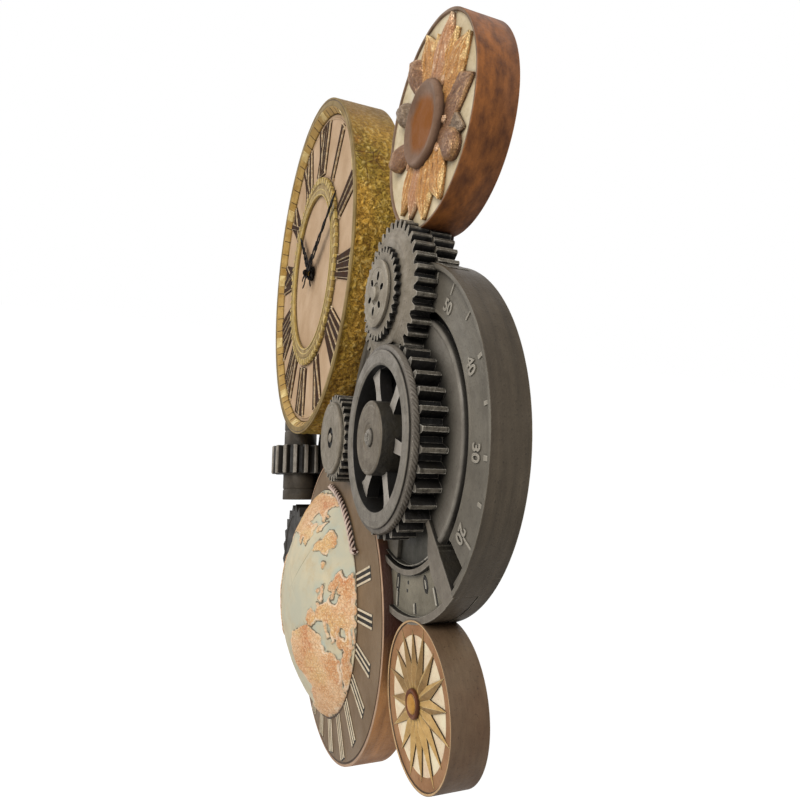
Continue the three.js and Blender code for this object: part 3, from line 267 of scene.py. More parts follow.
def build(name, form, looks, body="clock", nodes=(), crease=35, bevel=0.0, choose=None):
    """One piece of the clock, finished and riding on its body."""
    mesh = mesh_of(name, form)
    for look in looks if isinstance(looks, (list, tuple)) else [looks]:
        mesh.materials.append(look)
    if choose:
        for face in mesh.polygons:
            face.material_index = choose(face.center / MM, face.normal)
    mesh.shade_smooth()
    mesh.set_sharp_from_angle(angle=math.radians(crease))
    piece = bpy.data.objects.new(name, mesh)
    scene.collection.objects.link(piece)
    if bevel:
        ease_edges(piece, bevel)
    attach(piece, body)
    if nodes:
        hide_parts(*nodes)
    print(name, "on", body, "with", len(mesh.polygons), "faces")
    return piece


# %% Eased edges and numbers kept at the points
def ease_edges(piece, width, segments=2):
    eased = piece.modifiers.new("eased edges", "BEVEL")
    eased.width = width * MM
    eased.segments = segments
    eased.limit_method = "ANGLE"
    eased.angle_limit = math.radians(32)
    eased.harden_normals = True


def keep_values(piece, name, values):
    """One number for each point of a piece, kept for its material."""
    layer = piece.data.attributes.new(name, "FLOAT", "POINT")
    layer.data.foreach_set("value", values)


def spot_key(point):
    return (round(point.x, 2), round(point.y, 2), round(point.z, 2))


def mark(piece, name, values):
    """The same, with each number looked up by the point's place in mm."""
    keep_values(piece, name, [values.get(spot_key(v.co / MM), 0.0) for v in piece.data.vertices])


# %% Looks by place
def distance(point, centre):
    return math.hypot(point.x - centre[0], point.z - centre[1])


def gear_looks(centre, tip):
    """0 for a gear's face, 1 for the flanks and the gaps, 2 for the tips of its teeth: the flanks and
    gaps take painted shade and the tips a lighter painted half shade.
    """
    def choose(point, normal):
        if normal.y < -0.6:
            return 0
        return 2 if distance(point, centre) > tip - 0.9 else 1
    return choose


def faces_front(point, normal):
    """0 for a face that looks away from the wall, 1 for a side, which takes painted shade: the looks
    of most castings.
    """
    return 0 if normal.y < -0.6 else 1


# %% Cut or join shapes
def combine(piece, form, way="DIFFERENCE"):
    """Cuts a form out of a piece, or joins it to it, for good."""
    other = bpy.data.objects.new("cutter", mesh_of("cutter", form))
    for look in piece.data.materials:
        other.data.materials.append(look)
    scene.collection.objects.link(other)
    change = piece.modifiers.new("change", "BOOLEAN")
    change.operation = way
    change.solver = "EXACT"
    change.object = other
    while piece.modifiers[0] != change:
        piece.modifiers.move(len(piece.modifiers) - 1, 0)
    others = [m for m in piece.modifiers if m != change]
    for m in others:
        m.show_viewport = False
    bpy.context.view_layer.update()
    changed = bpy.data.meshes.new_from_object(piece.evaluated_get(bpy.context.evaluated_depsgraph_get()))
    for m in others:
        m.show_viewport = True
    piece.modifiers.remove(change)
    piece.data = changed
    bpy.data.objects.remove(other)
    changed.shade_smooth()
    changed.set_sharp_from_angle(angle=math.radians(35))


# %% [markdown]
# The real clock is cast resin under hand-rubbed paint: a base colour that drifts from patch to
# patch, a dark wash left in the corners, and pale metal where edges were rubbed bare. The dark in the
# corners is found by ambient occlusion, so it is painted shade as well as wash, and the pale edges are
# painted highlights as well as wear. These three effects are on every casting, so each is a node
# group, made once and placed with its own values. Three more groups are placed only where they are
# needed: streaks brushed round a centre, a round zone and a zone near the wall; on some pieces they
# place painted shade.

# %% Node group helpers
def paint(code):
    """A linear colour from a hex code as seen on screen."""
    parts = [int(code[i:i + 2], 16) / 255 for i in (0, 2, 4)]
    return tuple(c / 12.92 if c <= 0.04045 else ((c + 0.055) / 1.055) ** 2.4 for c in parts) + (1.0,)


def effect(name, inputs, outputs):
    """A new shader node group with named inputs and outputs."""
    tree = bpy.data.node_groups.new(name, "ShaderNodeTree")
    for label, kind, value in inputs:
        tree.interface.new_socket(name=label, in_out="INPUT", socket_type=kind).default_value = value
    for label, kind in outputs:
        tree.interface.new_socket(name=label, in_out="OUTPUT", socket_type=kind)
    print("effect:", name)
    return tree, tree.nodes.new("NodeGroupInput").outputs, tree.nodes.new("NodeGroupOutput").inputs


def node(tree, kind, inputs=None, **settings):
    """A node with its settings, and with each input set to a value or linked to a socket."""
    made = tree.nodes.new(kind)
    for key, value in settings.items():
        setattr(made, key, value)
    for key, value in (inputs or {}).items():
        if isinstance(value, bpy.types.NodeSocket):
            tree.links.new(value, made.inputs[key])
        else:
            made.inputs[key].default_value = value
    return made


def sums(tree, operation, first, second=0.0, clamp=False):
    made = node(tree, "ShaderNodeMath", {0: first, 1: second}, operation=operation, use_clamp=clamp)
    return made.outputs[0]


def spread(tree, value, low_in, high_in, low_out=0.0, high_out=1.0):
    inputs = {"Value": value, "From Min": low_in, "From Max": high_in, "To Min": low_out,
              "To Max": high_out}
    return node(tree, "ShaderNodeMapRange", inputs).outputs["Result"]


def mixed(tree, share, first, second, way="MIX"):
    made = tree.nodes.new("ShaderNodeMix")
    made.data_type = "RGBA"
    made.blend_type = way
    for socket, value in ((made.inputs[0], share), (made.inputs[6], first), (made.inputs[7], second)):
        if isinstance(value, bpy.types.NodeSocket):
            tree.links.new(value, socket)
        else:
            socket.default_value = value
    return made.outputs[2]


# %% Noise, masks and other short names
def grain(tree, where, scale, detail=3.0, rough=0.55):
    inputs = {"Vector": where, "Scale": scale, "Detail": detail, "Roughness": rough}
    return node(tree, "ShaderNodeTexNoise", inputs).outputs["Fac"]


def patches(tree, where, scale, detail, rough, none_at, full_at):
    """A mask of soft patches, cut out of a noise between two of its levels."""
    return spread(tree, grain(tree, where, scale, detail, rough), none_at, full_at)


def seams(tree, where, scale, none_at, full_at):
    """A mask of thin lines along the borders of cells."""
    inputs = {"Vector": where, "Scale": scale}
    cells = node(tree, "ShaderNodeTexVoronoi", inputs, feature="DISTANCE_TO_EDGE")
    return spread(tree, cells.outputs["Distance"], none_at, full_at)


def times(tree, first, second, clamp=False):
    return sums(tree, "MULTIPLY", first, second, clamp)


def object_place(tree):
    return node(tree, "ShaderNodeTexCoord").outputs["Object"]


def point_value(tree, name):
    """The number that keep_values left at each point."""
    return node(tree, "ShaderNodeAttribute", attribute_name=name).outputs["Fac"]


# %% Patchy tone and cast grain
patchy, given, out = effect(
    "Patchy tone",
    [("Patch Scale", "NodeSocketFloat", 30.0), ("Grain Scale", "NodeSocketFloat", 700.0)],
    [("Tone", "NodeSocketFloat"), ("Speckle", "NodeSocketFloat"), ("Height", "NodeSocketFloat")],
)
where = object_place(patchy)
broad = grain(patchy, where, given["Patch Scale"], 5.0, 0.62)
fine = grain(patchy, where, given["Grain Scale"], 2.0, 0.6)
patchy.links.new(spread(patchy, broad, 0.34, 0.66), out["Tone"])
patchy.links.new(spread(patchy, fine, 0.62, 0.74), out["Speckle"])
patchy.links.new(sums(patchy, "ADD", times(patchy, broad, 0.5), fine), out["Height"])

# %% Rubbed edges and painted highlights: where a rounded normal leaves the true one
rubbed_highlights, given, out = effect(
    "Rubbed edges and painted highlights",
    [("Width", "NodeSocketFloat", 0.0006), ("Amount", "NodeSocketFloat", 1.0)],
    [("Mask", "NodeSocketFloat")],
)
softened = node(rubbed_highlights, "ShaderNodeBevel", {"Radius": given["Width"]}, samples=4)
true_normal = node(rubbed_highlights, "ShaderNodeNewGeometry").outputs["Normal"]
both = {0: softened.outputs["Normal"], 1: true_normal}
likeness = node(rubbed_highlights, "ShaderNodeVectorMath", both, operation="DOT_PRODUCT").outputs["Value"]
# The pale colour on these edges is rubbed wear and a painted highlight.
edge = spread(rubbed_highlights, likeness, 0.995, 0.80)
where = object_place(rubbed_highlights)
skips = patches(rubbed_highlights, where, 160.0, 4.0, 0.7, 0.36, 0.56)
mask = times(rubbed_highlights, times(rubbed_highlights, edge, skips), given["Amount"], clamp=True)
rubbed_highlights.links.new(mask, out["Mask"])

# %% Dark wash and painted shade in the corners
wash_and_shade, given, out = effect(
    "Corner wash and painted shade",
    [("Reach", "NodeSocketFloat", 0.006), ("Amount", "NodeSocketFloat", 1.0)],
    [("Mask", "NodeSocketFloat")],
)
# Ambient occlusion darkens what is closed in from the light: painted shade, along with the real dark wash.
hidden = node(wash_and_shade, "ShaderNodeAmbientOcclusion", {"Distance": given["Reach"]}, samples=6)
closed_in = spread(wash_and_shade, hidden.outputs["AO"], 0.85, 0.25)
wash_and_shade.links.new(times(wash_and_shade, closed_in, given["Amount"], clamp=True), out["Mask"])

# %% Streaks brushed round a centre
streaks, given, out = effect(
    "Brushed streaks",
    [("Centre", "NodeSocketVector", (0, 0, 0)), ("Along", "NodeSocketFloat", 4.0),
     ("Across", "NodeSocketFloat", 260.0)],
    [("Streak", "NodeSocketFloat")],
)
where = object_place(streaks)
offset = node(streaks, "ShaderNodeVectorMath", {0: where, 1: given["Centre"]}, operation="SUBTRACT")
parts = node(streaks, "ShaderNodeSeparateXYZ", {0: offset.outputs[0]}).outputs
bearing = sums(streaks, "ARCTAN2", parts["X"], parts["Z"])
radius = sums(streaks, "POWER", sums(streaks, "ADD", sums(streaks, "POWER", parts["X"], 2.0),
                                    sums(streaks, "POWER", parts["Z"], 2.0)), 0.5)
depth = sums(streaks, "SUBTRACT", radius, parts["Y"])
round_it = times(streaks, bearing, given["Along"])
in_it = times(streaks, depth, given["Across"])
polar = node(streaks, "ShaderNodeCombineXYZ", {"X": round_it, "Y": in_it}).outputs[0]
streaks.links.new(spread(streaks, grain(streaks, polar, 1.0, 5.0, 0.62), 0.33, 0.67), out["Streak"])

# %% A soft zone round a centre, and a soft zone by height off the wall
zone, given, out = effect(
    "Round zone",
    [("Centre", "NodeSocketVector", (0, 0, 0)), ("Inner", "NodeSocketFloat", 0.01),
     ("Outer", "NodeSocketFloat", 0.02)],
    [("Inside", "NodeSocketFloat")],
)
where = object_place(zone)
flat = node(zone, "ShaderNodeVectorMath", {0: where, 1: (1, 0, 1)}, operation="MULTIPLY").outputs[0]
away = node(zone, "ShaderNodeVectorMath", {0: flat, 1: given["Centre"]}, operation="DISTANCE")
drift = spread(zone, grain(zone, where, 90.0, 3.0, 0.6), 0.0, 1.0, -0.0035, 0.0035)
reached = sums(zone, "ADD", away.outputs["Value"], drift)
zone.links.new(spread(zone, reached, given["Outer"], given["Inner"]), out["Inside"])

level, given, out = effect(
    "Height zone",
    [("Full Below", "NodeSocketFloat", 0.008), ("None Above", "NodeSocketFloat", 0.02)],
    [("Below", "NodeSocketFloat")],
)
where = object_place(level)
off_wall = times(level, node(level, "ShaderNodeSeparateXYZ", {0: where}).outputs["Y"], -1.0)
drift = spread(level, grain(level, where, 28.0, 3.0, 0.6), 0.2, 0.8, -0.008, 0.008)
level.links.new(spread(level, sums(level, "ADD", off_wall, drift), given["None Above"], given["Full Below"]),
                out["Below"])


# %% [markdown]
# A painted finish places those groups in a material: tone between two base colours, then the wash
# with its painted shade, then the rubbed edges with their painted highlights, with roughness and bump
# from the same noise. The numbers that are the same all over a piece, such as how metallic it is, are
# set on the shader's own sockets.

# %% The painted finish
def placed(tree, group, **values):
    made = tree.nodes.new("ShaderNodeGroup")
    made.node_tree = group
    for key, value in values.items():
        made.inputs[key.replace("_", " ").title()].default_value = value
    return made.outputs


def new_look(name):
    """A new material, its node tree and the sockets of its shader."""
    look = bpy.data.materials.new(name)
    look.use_nodes = True
    return look, look.node_tree, look.node_tree.nodes["Principled BSDF"].inputs


def finish_look(tree, shader, colour, rough, metal, shine, height, bump, depth):
    """Links what varies over a piece and sets what doesn't on the shader's own sockets."""
    tree.links.new(colour, shader["Base Color"])
    tree.links.new(rough, shader["Roughness"])
    shader["Metallic"].default_value = metal
    shader["Specular IOR Level"].default_value = shine
    bumped = node(tree, "ShaderNodeBump", {"Height": height, "Strength": bump, "Distance": depth})
    tree.links.new(bumped.outputs["Normal"], shader["Normal"])


def coats(tree, colour, *layers):
    """A colour with others over it, each where its mask says and at most by its share."""
    for mask, share, code in layers:
        colour = mixed(tree, times(tree, mask, share), colour, paint(code))
    return colour


def in_wall_plane(centre):
    """A centre in metres, as the node groups take it."""
    return (centre[0] * MM, 0, centre[1] * MM)


# %% One function for every rubbed paint, with its painted shade and highlights
def painted(name, base, second, dark, light, rough=(0.42, 0.68), metal=0.1, patch=30.0,
            fine_grain=700.0, bump=0.25, rub_highlight=0.9, rub_highlight_width=0.6, shade_wash=0.85, reach=5.0,
            streak=None, streak_share=0.5, speckle=0.35, middle=None, wall=None, shine=0.32):
    """A material of paint worn back on its edges, with painted shade in its corners and painted highlights
    on its edges. streak is (centre, along, across) where it was brushed round one, middle is (centre,
    inner, outer, colour) and wall is (full below, none above, colour), in mm."""
    look, tree, shader = new_look(name)
    tone = placed(tree, patchy, patch_scale=patch, grain_scale=fine_grain)
    colour = mixed(tree, tone["Tone"], paint(base), paint(second))
    height = tone["Height"]
    if middle:
        centre, inner, outer, other = middle
        spot = {"centre": in_wall_plane(centre), "inner": inner * MM, "outer": outer * MM}
        colour = mixed(tree, placed(tree, zone, **spot)["Inside"], colour, paint(other))
    if wall:
        below, above, other = wall
        near_wall = placed(tree, level, full_below=below * MM, none_above=above * MM)["Below"]
        colour = mixed(tree, near_wall, colour, paint(other))
    if streak:
        centre, along, across = streak
        brushed = placed(tree, streaks, centre=in_wall_plane(centre), along=along, across=across)["Streak"]
        colour = coats(tree, colour, (brushed, streak_share, dark))
        height = sums(tree, "ADD", height, times(tree, brushed, 0.4))
    colour = coats(tree, colour, (tone["Speckle"], speckle, dark))
    # The dark colour goes where the piece is closed in: a dark wash and painted shade.
    corner = placed(tree, wash_and_shade, reach=reach * MM, amount=shade_wash)["Mask"]
    colour = mixed(tree, corner, colour, paint(dark))
    # Pale edges: rubbed wear and painted highlights.
    bare_and_highlit = placed(tree, rubbed_highlights, width=rub_highlight_width * MM, amount=rub_highlight)["Mask"]
    colour = mixed(tree, bare_and_highlit, colour, paint(light))
    finish_look(tree, shader, colour, spread(tree, tone["Tone"], 0.0, 1.0, *rough), metal=metal,
                shine=shine, height=height, bump=bump, depth=0.0008)
    return look


# %% Finishes of the castings
rim_gold = painted("Pale rim gold", "8c7440", "745e34", "2e2411", "cbb27a", metal=0.15, patch=45.0,
                   rub_highlight_width=0.5, shine=0.15)
plate_taupe = painted("Taupe plate", "c0a384", "ae9070", "3a2a1c", "d0b690", metal=0.0, patch=26.0,
                      rough=(0.6, 0.8), reach=7.0, shade_wash=1.0, shine=0.08)
numeral_brown = painted("Numeral brown", "2c1a10", "3c2616", "140b06", "d8c09a", metal=0.0, patch=150.0,
                        rough=(0.62, 0.82), rub_highlight=0.3, shade_wash=0.5, bump=0.6, shine=0.06)
# A dark bed between the strokes: painted shadow.
numeral_shadow_bed = painted("Numeral beds, painted shadow", "2c1a10", "3c2616", "100805", "8a6a4a", metal=0.0, patch=180.0,
                    rough=(0.62, 0.82), fine_grain=420.0, rub_highlight=0.4, shade_wash=1.0, bump=0.8, shine=0.06)
# A pale rim round each stroke: a painted highlight.
numeral_highlight = painted("Numeral edge highlight", "e0c8a0", "9a7850", "4a3220", "fff0d0", metal=0.0, patch=260.0,
                       fine_grain=500.0, shade_wash=0.3, rub_highlight=1.0, speckle=0.6)
ring_gold = painted("Ring gold", "9c8040", "7a6030", "2a200e", "ead48e", patch=90.0,
                    rub_highlight=1.0, rub_highlight_width=0.7, bump=0.5)
ring_stud = painted("Ring studs", "c4a65c", "98803e", "2a200e", "f4e2a8", patch=160.0, rub_highlight=1.0,
                    reach=2.0)
# Darker towards the wall: painted shade at the foot of the drum.
copper_side = painted("Brushed copper", "9c5e28", "7c4a20", "3a1c0c", "c48c52", patch=30.0,
                      streak=(ROSETTE, 5.0, 170.0), streak_share=0.8, reach=8.0, speckle=0.3,
                      wall=(3.0, 10.0, "804f2a"))
cream_face = painted("Cream face", "cdbd9c", "b5a27e", "4c3a26", "f0e2c0", metal=0.0, patch=60.0,
                     reach=6.0)
boss_bronze = painted("Boss bronze", "7d6350", "6a5242", "2c1c10", "d0b090", patch=60.0,
                      rub_highlight=1.0, rub_highlight_width=0.9, reach=7.0, middle=(ROSETTE, 14.0, 19.0, "7a4716"), shine=0.06)
sun_taupe = painted("Sun drum taupe", "6e5a44", "5c432f", "2a1c10", "a08a68", metal=0.05, patch=20.0,
                    streak=(SUN, 3.0, 300.0), streak_share=0.3, speckle=0.5)
sun_band = painted("Sun band", "a0744a", "89603c", "452a16", "dfc096", patch=60.0)
sun_cream = painted("Sun cream", "e6d8b6", "d4b898", "6a5030", "fff4d8", metal=0.0, patch=90.0,
                    reach=2.0, shade_wash=0.6)
# A lighter and a darker copy of the star's paint for the two halves of each ray: painted light and shade.
lit_star_gold = painted("Star gold, lit facets", "c49f62", "a8854e", "3a2c12", "ecdca8", metal=0.05, patch=110.0, rub_highlight=1.0,
                    rub_highlight_width=0.5, reach=2.0, bump=0.6, middle=(SUN, 5.0, 11.0, "c09a50"))
shaded_star_olive = painted("Star olive, shaded facets", "957547", "7c6038", "2b2210", "d8c890", metal=0.05, patch=110.0, rub_highlight=1.0,
                     rub_highlight_width=0.5, reach=2.0, bump=0.6, middle=(SUN, 5.0, 11.0, "a8843f"))
# Dark brown for thin lines, the minute lines on the bevel and the lip at the dome's foot, and painted shade
# in fine grooves and on the walls of the star's rays.
dark_line_and_shade = painted("Dark lines and painted shade", "4c3418", "382510", "140c05", "6e5228", metal=0.0, rub_highlight=0.2)
sun_gold = painted("Sun dome gold", "c08c3e", "a0702e", "3e2210", "f0d8a0", metal=0.3, patch=90.0, rub_highlight=0.6)


def turned_pewter(name, centre, base="867b6a", second="736959", light="d6cfc0"):
    """Pewter with the faint circles of a lathe round its own centre."""
    return painted(name, base, second, "15120e", light, metal=0.2, patch=110.0, reach=4.5,
                   fine_grain=520.0, rub_highlight_width=0.7, rub_highlight=1.0, bump=0.5, speckle=0.55,
                   streak=(centre, 0.6, 900.0), streak_share=0.25)


pewter = turned_pewter("Pewter", UPPER)
wheel_pewter = turned_pewter("Wheel pewter", DIAL, "827a6e", "6e675c", "ddd6c8")
small_pewter = turned_pewter("Small gear pewter", SMALL, "8c8170", "786e5e")
hub_pewter = turned_pewter("Hub pewter", DIAL, "756a59", "62584a")
# Darker pewters for sides, flanks and tooth tips that face away from the light: painted shade.
shaded_pewter_side = painted("Pewter side, painted shade", "332e25", "25211a", "080706", "a69f90", metal=0.1,
                    patch=150.0, fine_grain=420.0, reach=9.0, shade_wash=1.0, rub_highlight=1.0, rub_highlight_width=0.7, bump=0.6)
tooth_flank_shade = painted("Tooth sides, painted shade", "211e19", "161310", "050403", "a8a092", patch=150.0,
                     fine_grain=420.0, reach=8.0, shade_wash=1.0, rub_highlight=0.7, rub_highlight_width=0.7, bump=0.8)
half_shaded_tooth_tip = painted("Tooth tips, painted half shade", "6e675b", "3a352d", "12100d", "d8d0c0", metal=0.2, patch=210.0,
                    fine_grain=420.0, reach=6.0, shade_wash=1.0, rub_highlight=1.0, rub_highlight_width=0.9, bump=0.9, speckle=0.6)
# Near black for the wheel's openings and the disc seen through them: painted shadow.
shadow_black = painted("Painted shadow black", "16130f", "0e0c09", "030303", "4a443a", metal=0.0, patch=90.0,
                     rub_highlight=0.5, reach=12.0, shade_wash=1.0)
spoke_pale = painted("Spoke fronts", "a39b90", "8b8378", "15120e", "ddd6c9", patch=130.0, rub_highlight=1.0,
                     reach=3.0)
dial_pewter = painted("Dial pewter", "6f685b", "5c554a", "15130f", "b5ae9e", metal=0.15, patch=24.0,
                      streak=(DIAL, 5.0, 160.0), streak_share=0.25, reach=6.0)
# Darker inside the large gear's reach, where the gear stands over the disc: painted shade.
disc_pewter = painted("Disc pewter", "7a7368", "655e54", "0e0c09", "cfc8b9", patch=60.0,
                      reach=14.0, shade_wash=1.0, rub_highlight=1.0, rub_highlight_width=1.4, middle=(DIAL, 60.0, 72.0, "48433a"))
# The broad dark bands round the side are painted shade.
dial_side = painted("Dial side", "5c5142", "453b2e", "1a150f", "a0957f", patch=16.0,
                    streak=(DIAL, 1.2, 150.0), streak_share=0.5, reach=9.0, bump=0.4, speckle=0.5)
# Near black for grooves, slots and the beds under bars, painted shade, and for the dark marks on the
# sextant's scale.
shade_and_mark_black = painted("Painted shade and dark marks", "181511", "100e0b", "050404", "4a443a", metal=0.0, patch=60.0)
sextant_grey = painted("Sextant grey", "756c5f", "665e53", "15120e", "c9c1b2", metal=0.2, patch=90.0,
                       rub_highlight=1.0, rub_highlight_width=0.7)
scale_grey = painted("Scale grey", "7c7462", "665f50", "14130f", "c9c4b2", patch=60.0,
                     bump=0.5, reach=7.0)
dark_cast = painted("Dark casting", "463d31", "362f26", "0c0a07", "8c806c", metal=0.15, patch=70.0,
                    reach=8.0, rub_highlight_width=0.7)
ring_taupe = painted("Globe ring taupe", "735c40", "634d34", "2b2015", "b89e80", metal=0.0,
                     patch=22.0, reach=9.0, rub_highlight_width=0.9)
# Darker near the dial, which stands beside this side: painted shade.
ring_side = painted("Globe ring side", "b47e48", "925f33", "28190d", "d0a878", metal=0.05, patch=20.0,
                    streak=(GLOBE, 2.0, 200.0), streak_share=0.45, reach=9.0, bump=0.5, speckle=0.5,
                    middle=((148.0, -268.0), 30.0, 66.0, "40241a"))
pale_bar = painted("Pale bars", "d8c8ac", "b8a688", "33251a", "efe2ca", metal=0.0, patch=120.0,
                   reach=2.0)
rope_look = painted("Rope", "d0b8a8", "b49c8c", "3a1f16", "faeadb", metal=0.0, patch=200.0,
                    reach=1.2, shade_wash=1.0)
rope_core = painted("Rope core", "3c2018", "2c1610", "0c0604", "5c3a2c", metal=0.0, rub_highlight=0.3)
rear_dark = painted("Rear gear dark", "2a251e", "1f1b16", "080605", "6e6558", metal=0.0, patch=90.0,
                    reach=8.0)
# Dark brown for the board where it shows between the castings near the wall: painted shade.
shaded_backing_brown = painted("Backing brown, painted shade", "35201a", "2a1a14", "0c0705", "5a4032", metal=0.0,
                        patch=22.0, rough=(0.6, 0.85), reach=12.0)
print("painted finishes:", len(bpy.data.materials))

# %% [markdown]
# The main drum's side is the roughest surface: gold over a face struck all over into rounded lumps
# that lean the same way. A lump is only a few millimetres across, finer than a mesh should be, so the
# lumps are a node group with its own slanted coordinates. The hollows between groups of lumps are
# real dents in the mesh, so that the outline is uneven too. Near its top the drum is almost smooth.

# %% Struck lumps in slanted coordinates
chisel, given, out = effect(
    "Chisel marks",
    [("Centre", "NodeSocketVector", (0, 0, 0)), ("Radius", "NodeSocketFloat", 0.15),
     ("Long", "NodeSocketFloat", 0.0042), ("Wide", "NodeSocketFloat", 0.0036)],
    [("Height", "NodeSocketFloat"), ("Cuts", "NodeSocketFloat")],
)
where = object_place(chisel)
offset = node(chisel, "ShaderNodeVectorMath", {0: where, 1: given["Centre"]}, operation="SUBTRACT")
parts = node(chisel, "ShaderNodeSeparateXYZ", {0: offset.outputs[0]}).outputs
bearing = sums(chisel, "ARCTAN2", parts["X"], parts["Z"])
round_it = times(chisel, bearing, given["Radius"])
height_of = times(chisel, parts["Y"], -1.0)
wobble = grain(chisel, where, 70.0, 2.0, 0.5)
wobble = spread(chisel, wobble, 0.0, 1.0, -0.004, 0.004)
SLANT = math.radians(38)
along = sums(chisel, "ADD", times(chisel, round_it, math.cos(SLANT)),
             times(chisel, height_of, math.sin(SLANT)))
across = sums(chisel, "SUBTRACT", times(chisel, height_of, math.cos(SLANT)),
              times(chisel, round_it, math.sin(SLANT)))
along = sums(chisel, "ADD", along, wobble)
across = sums(chisel, "ADD", across, wobble)
cell_at = node(chisel, "ShaderNodeCombineXYZ", {
    "X": sums(chisel, "DIVIDE", along, given["Wide"]), "Y": sums(chisel, "DIVIDE", across, given["Long"])})
lumps = grain(chisel, cell_at.outputs[0], 1.0, 4.0, 0.62)
from_middle = sums(chisel, "ABSOLUTE", sums(chisel, "SUBTRACT", lumps, 0.47))
chisel.links.new(spread(chisel, lumps, 0.34, 0.66), out["Height"])
chisel.links.new(spread(chisel, from_middle, 0.022, 0.004), out["Cuts"])

# %% Struck gold for the main drum
def struck_gold():
    look, tree, shader = new_look("Struck ochre gold")
    where = object_place(tree)
    tone = placed(tree, patchy, patch_scale=24.0, grain_scale=500.0)
    marks = placed(tree, chisel, centre=in_wall_plane(MAIN))
    rough_part = point_value(tree, "struck")
    dent = point_value(tree, "dent")
    pits = patches(tree, where, 420.0, 3.0, 0.7, 0.42, 0.60)
    pitted = sums(tree, "SUBTRACT", 1.0, pits)
    olive = patches(tree, where, 17.0, 3.0, 0.6, 0.44, 0.60)
    orange = patches(tree, where, 34.0, 2.0, 0.5, 0.56, 0.70)
    # bright is a painted highlight on the tops of the lumps; scoop and hollow are painted shade in their lows
    # and in the dents.
    bright = spread(tree, times(tree, marks["Height"], dent), 0.34, 0.72)
    scoop = spread(tree, marks["Height"], 0.34, 0.05)
    hollow = spread(tree, dent, 0.42, 0.10)
    broken_up = patches(tree, where, 12.0, 2.0, 0.5, 0.50, 0.60)
    seam = times(tree, seams(tree, where, 46.0, 0.022, 0.004), broken_up)
    colour = mixed(tree, tone["Tone"], paint("e8b44a"), paint("c49234"))
    colour = coats(tree, colour, (olive, 0.6, "918a2c"), (orange, 0.6, "aa6520"), (bright, 0.75, "e6c674"),
                   (scoop, 0.35, "5a3d12"), (marks["Cuts"], 0.8, "3a210c"), (hollow, 0.4, "6a3c10"),
                   (pitted, 0.38, "3f2810"), (seam, 0.8, "4c1d0c"))
    smooth_side = mixed(tree, tone["Tone"], paint("8c6d3a"), paint("735729"))
    smooth_side = coats(tree, smooth_side, (pitted, 0.22, "59421f"))
    colour = mixed(tree, rough_part, smooth_side, colour)
    # The corner wash adds painted shade as well.
    corner = placed(tree, wash_and_shade, reach=0.012, amount=0.7)["Mask"]
    colour = mixed(tree, corner, colour, paint("2c1c0c"))
    height = sums(tree, "ADD", marks["Height"], times(tree, pits, 0.3))
    height = sums(tree, "SUBTRACT", height, times(tree, marks["Cuts"], 0.5))
    height = times(tree, height, sums(tree, "ADD", times(tree, rough_part, 0.88), 0.12))
    finish_look(tree, shader, colour, spread(tree, marks["Height"], 0.0, 1.0, 0.72, 0.46), metal=0.2,
                shine=0.25, height=height, bump=0.85, depth=0.0012)
    return look


gold_side = struck_gold()

# %% The main drum, with its broad dents
RIM_WIDTH = 7.0
PLATE_R = 141.0
PLATE_FRONT = 33.0
MAIN_HEIGHT = 40.0
SIDE_ROWS = 30
SIDE_STEPS = 900
DENT_DEPTH = 1.6


def ease(value, start, stop):
    t = min(1.0, max(0.0, (value - start) / (stop - start)))
    return t * t * (3 - 2 * t)


def struck_at(bearing):
    """How strongly the side is struck: smooth near the top, rough from the right side down."""
    turned_to = abs((bearing + 180) % 360 - 180)
    return 0.10 + 0.90 * ease(turned_to, 30, 62)


def dent_at(bearing, height):
    """0 in the bottom of a hollow, 1 on a ridge."""
    round_it = math.radians(bearing) * MAIN_R
    along = round_it * math.cos(SLANT) + height * math.sin(SLANT)
    across = -round_it * math.sin(SLANT) + height * math.cos(SLANT)
    strokes = noise.noise(Vector((along / 4.0, across / 5.4, 3.0)))
    broken = noise.noise(Vector((round_it / 2.9, height / 2.9, 7.0)))
    broad = noise.noise(Vector((round_it / 17, height / 13, 11.0)))
    return min(1.0, max(0.0, 0.55 + 0.25 * strokes + 0.6 * broken + 0.5 * broad))


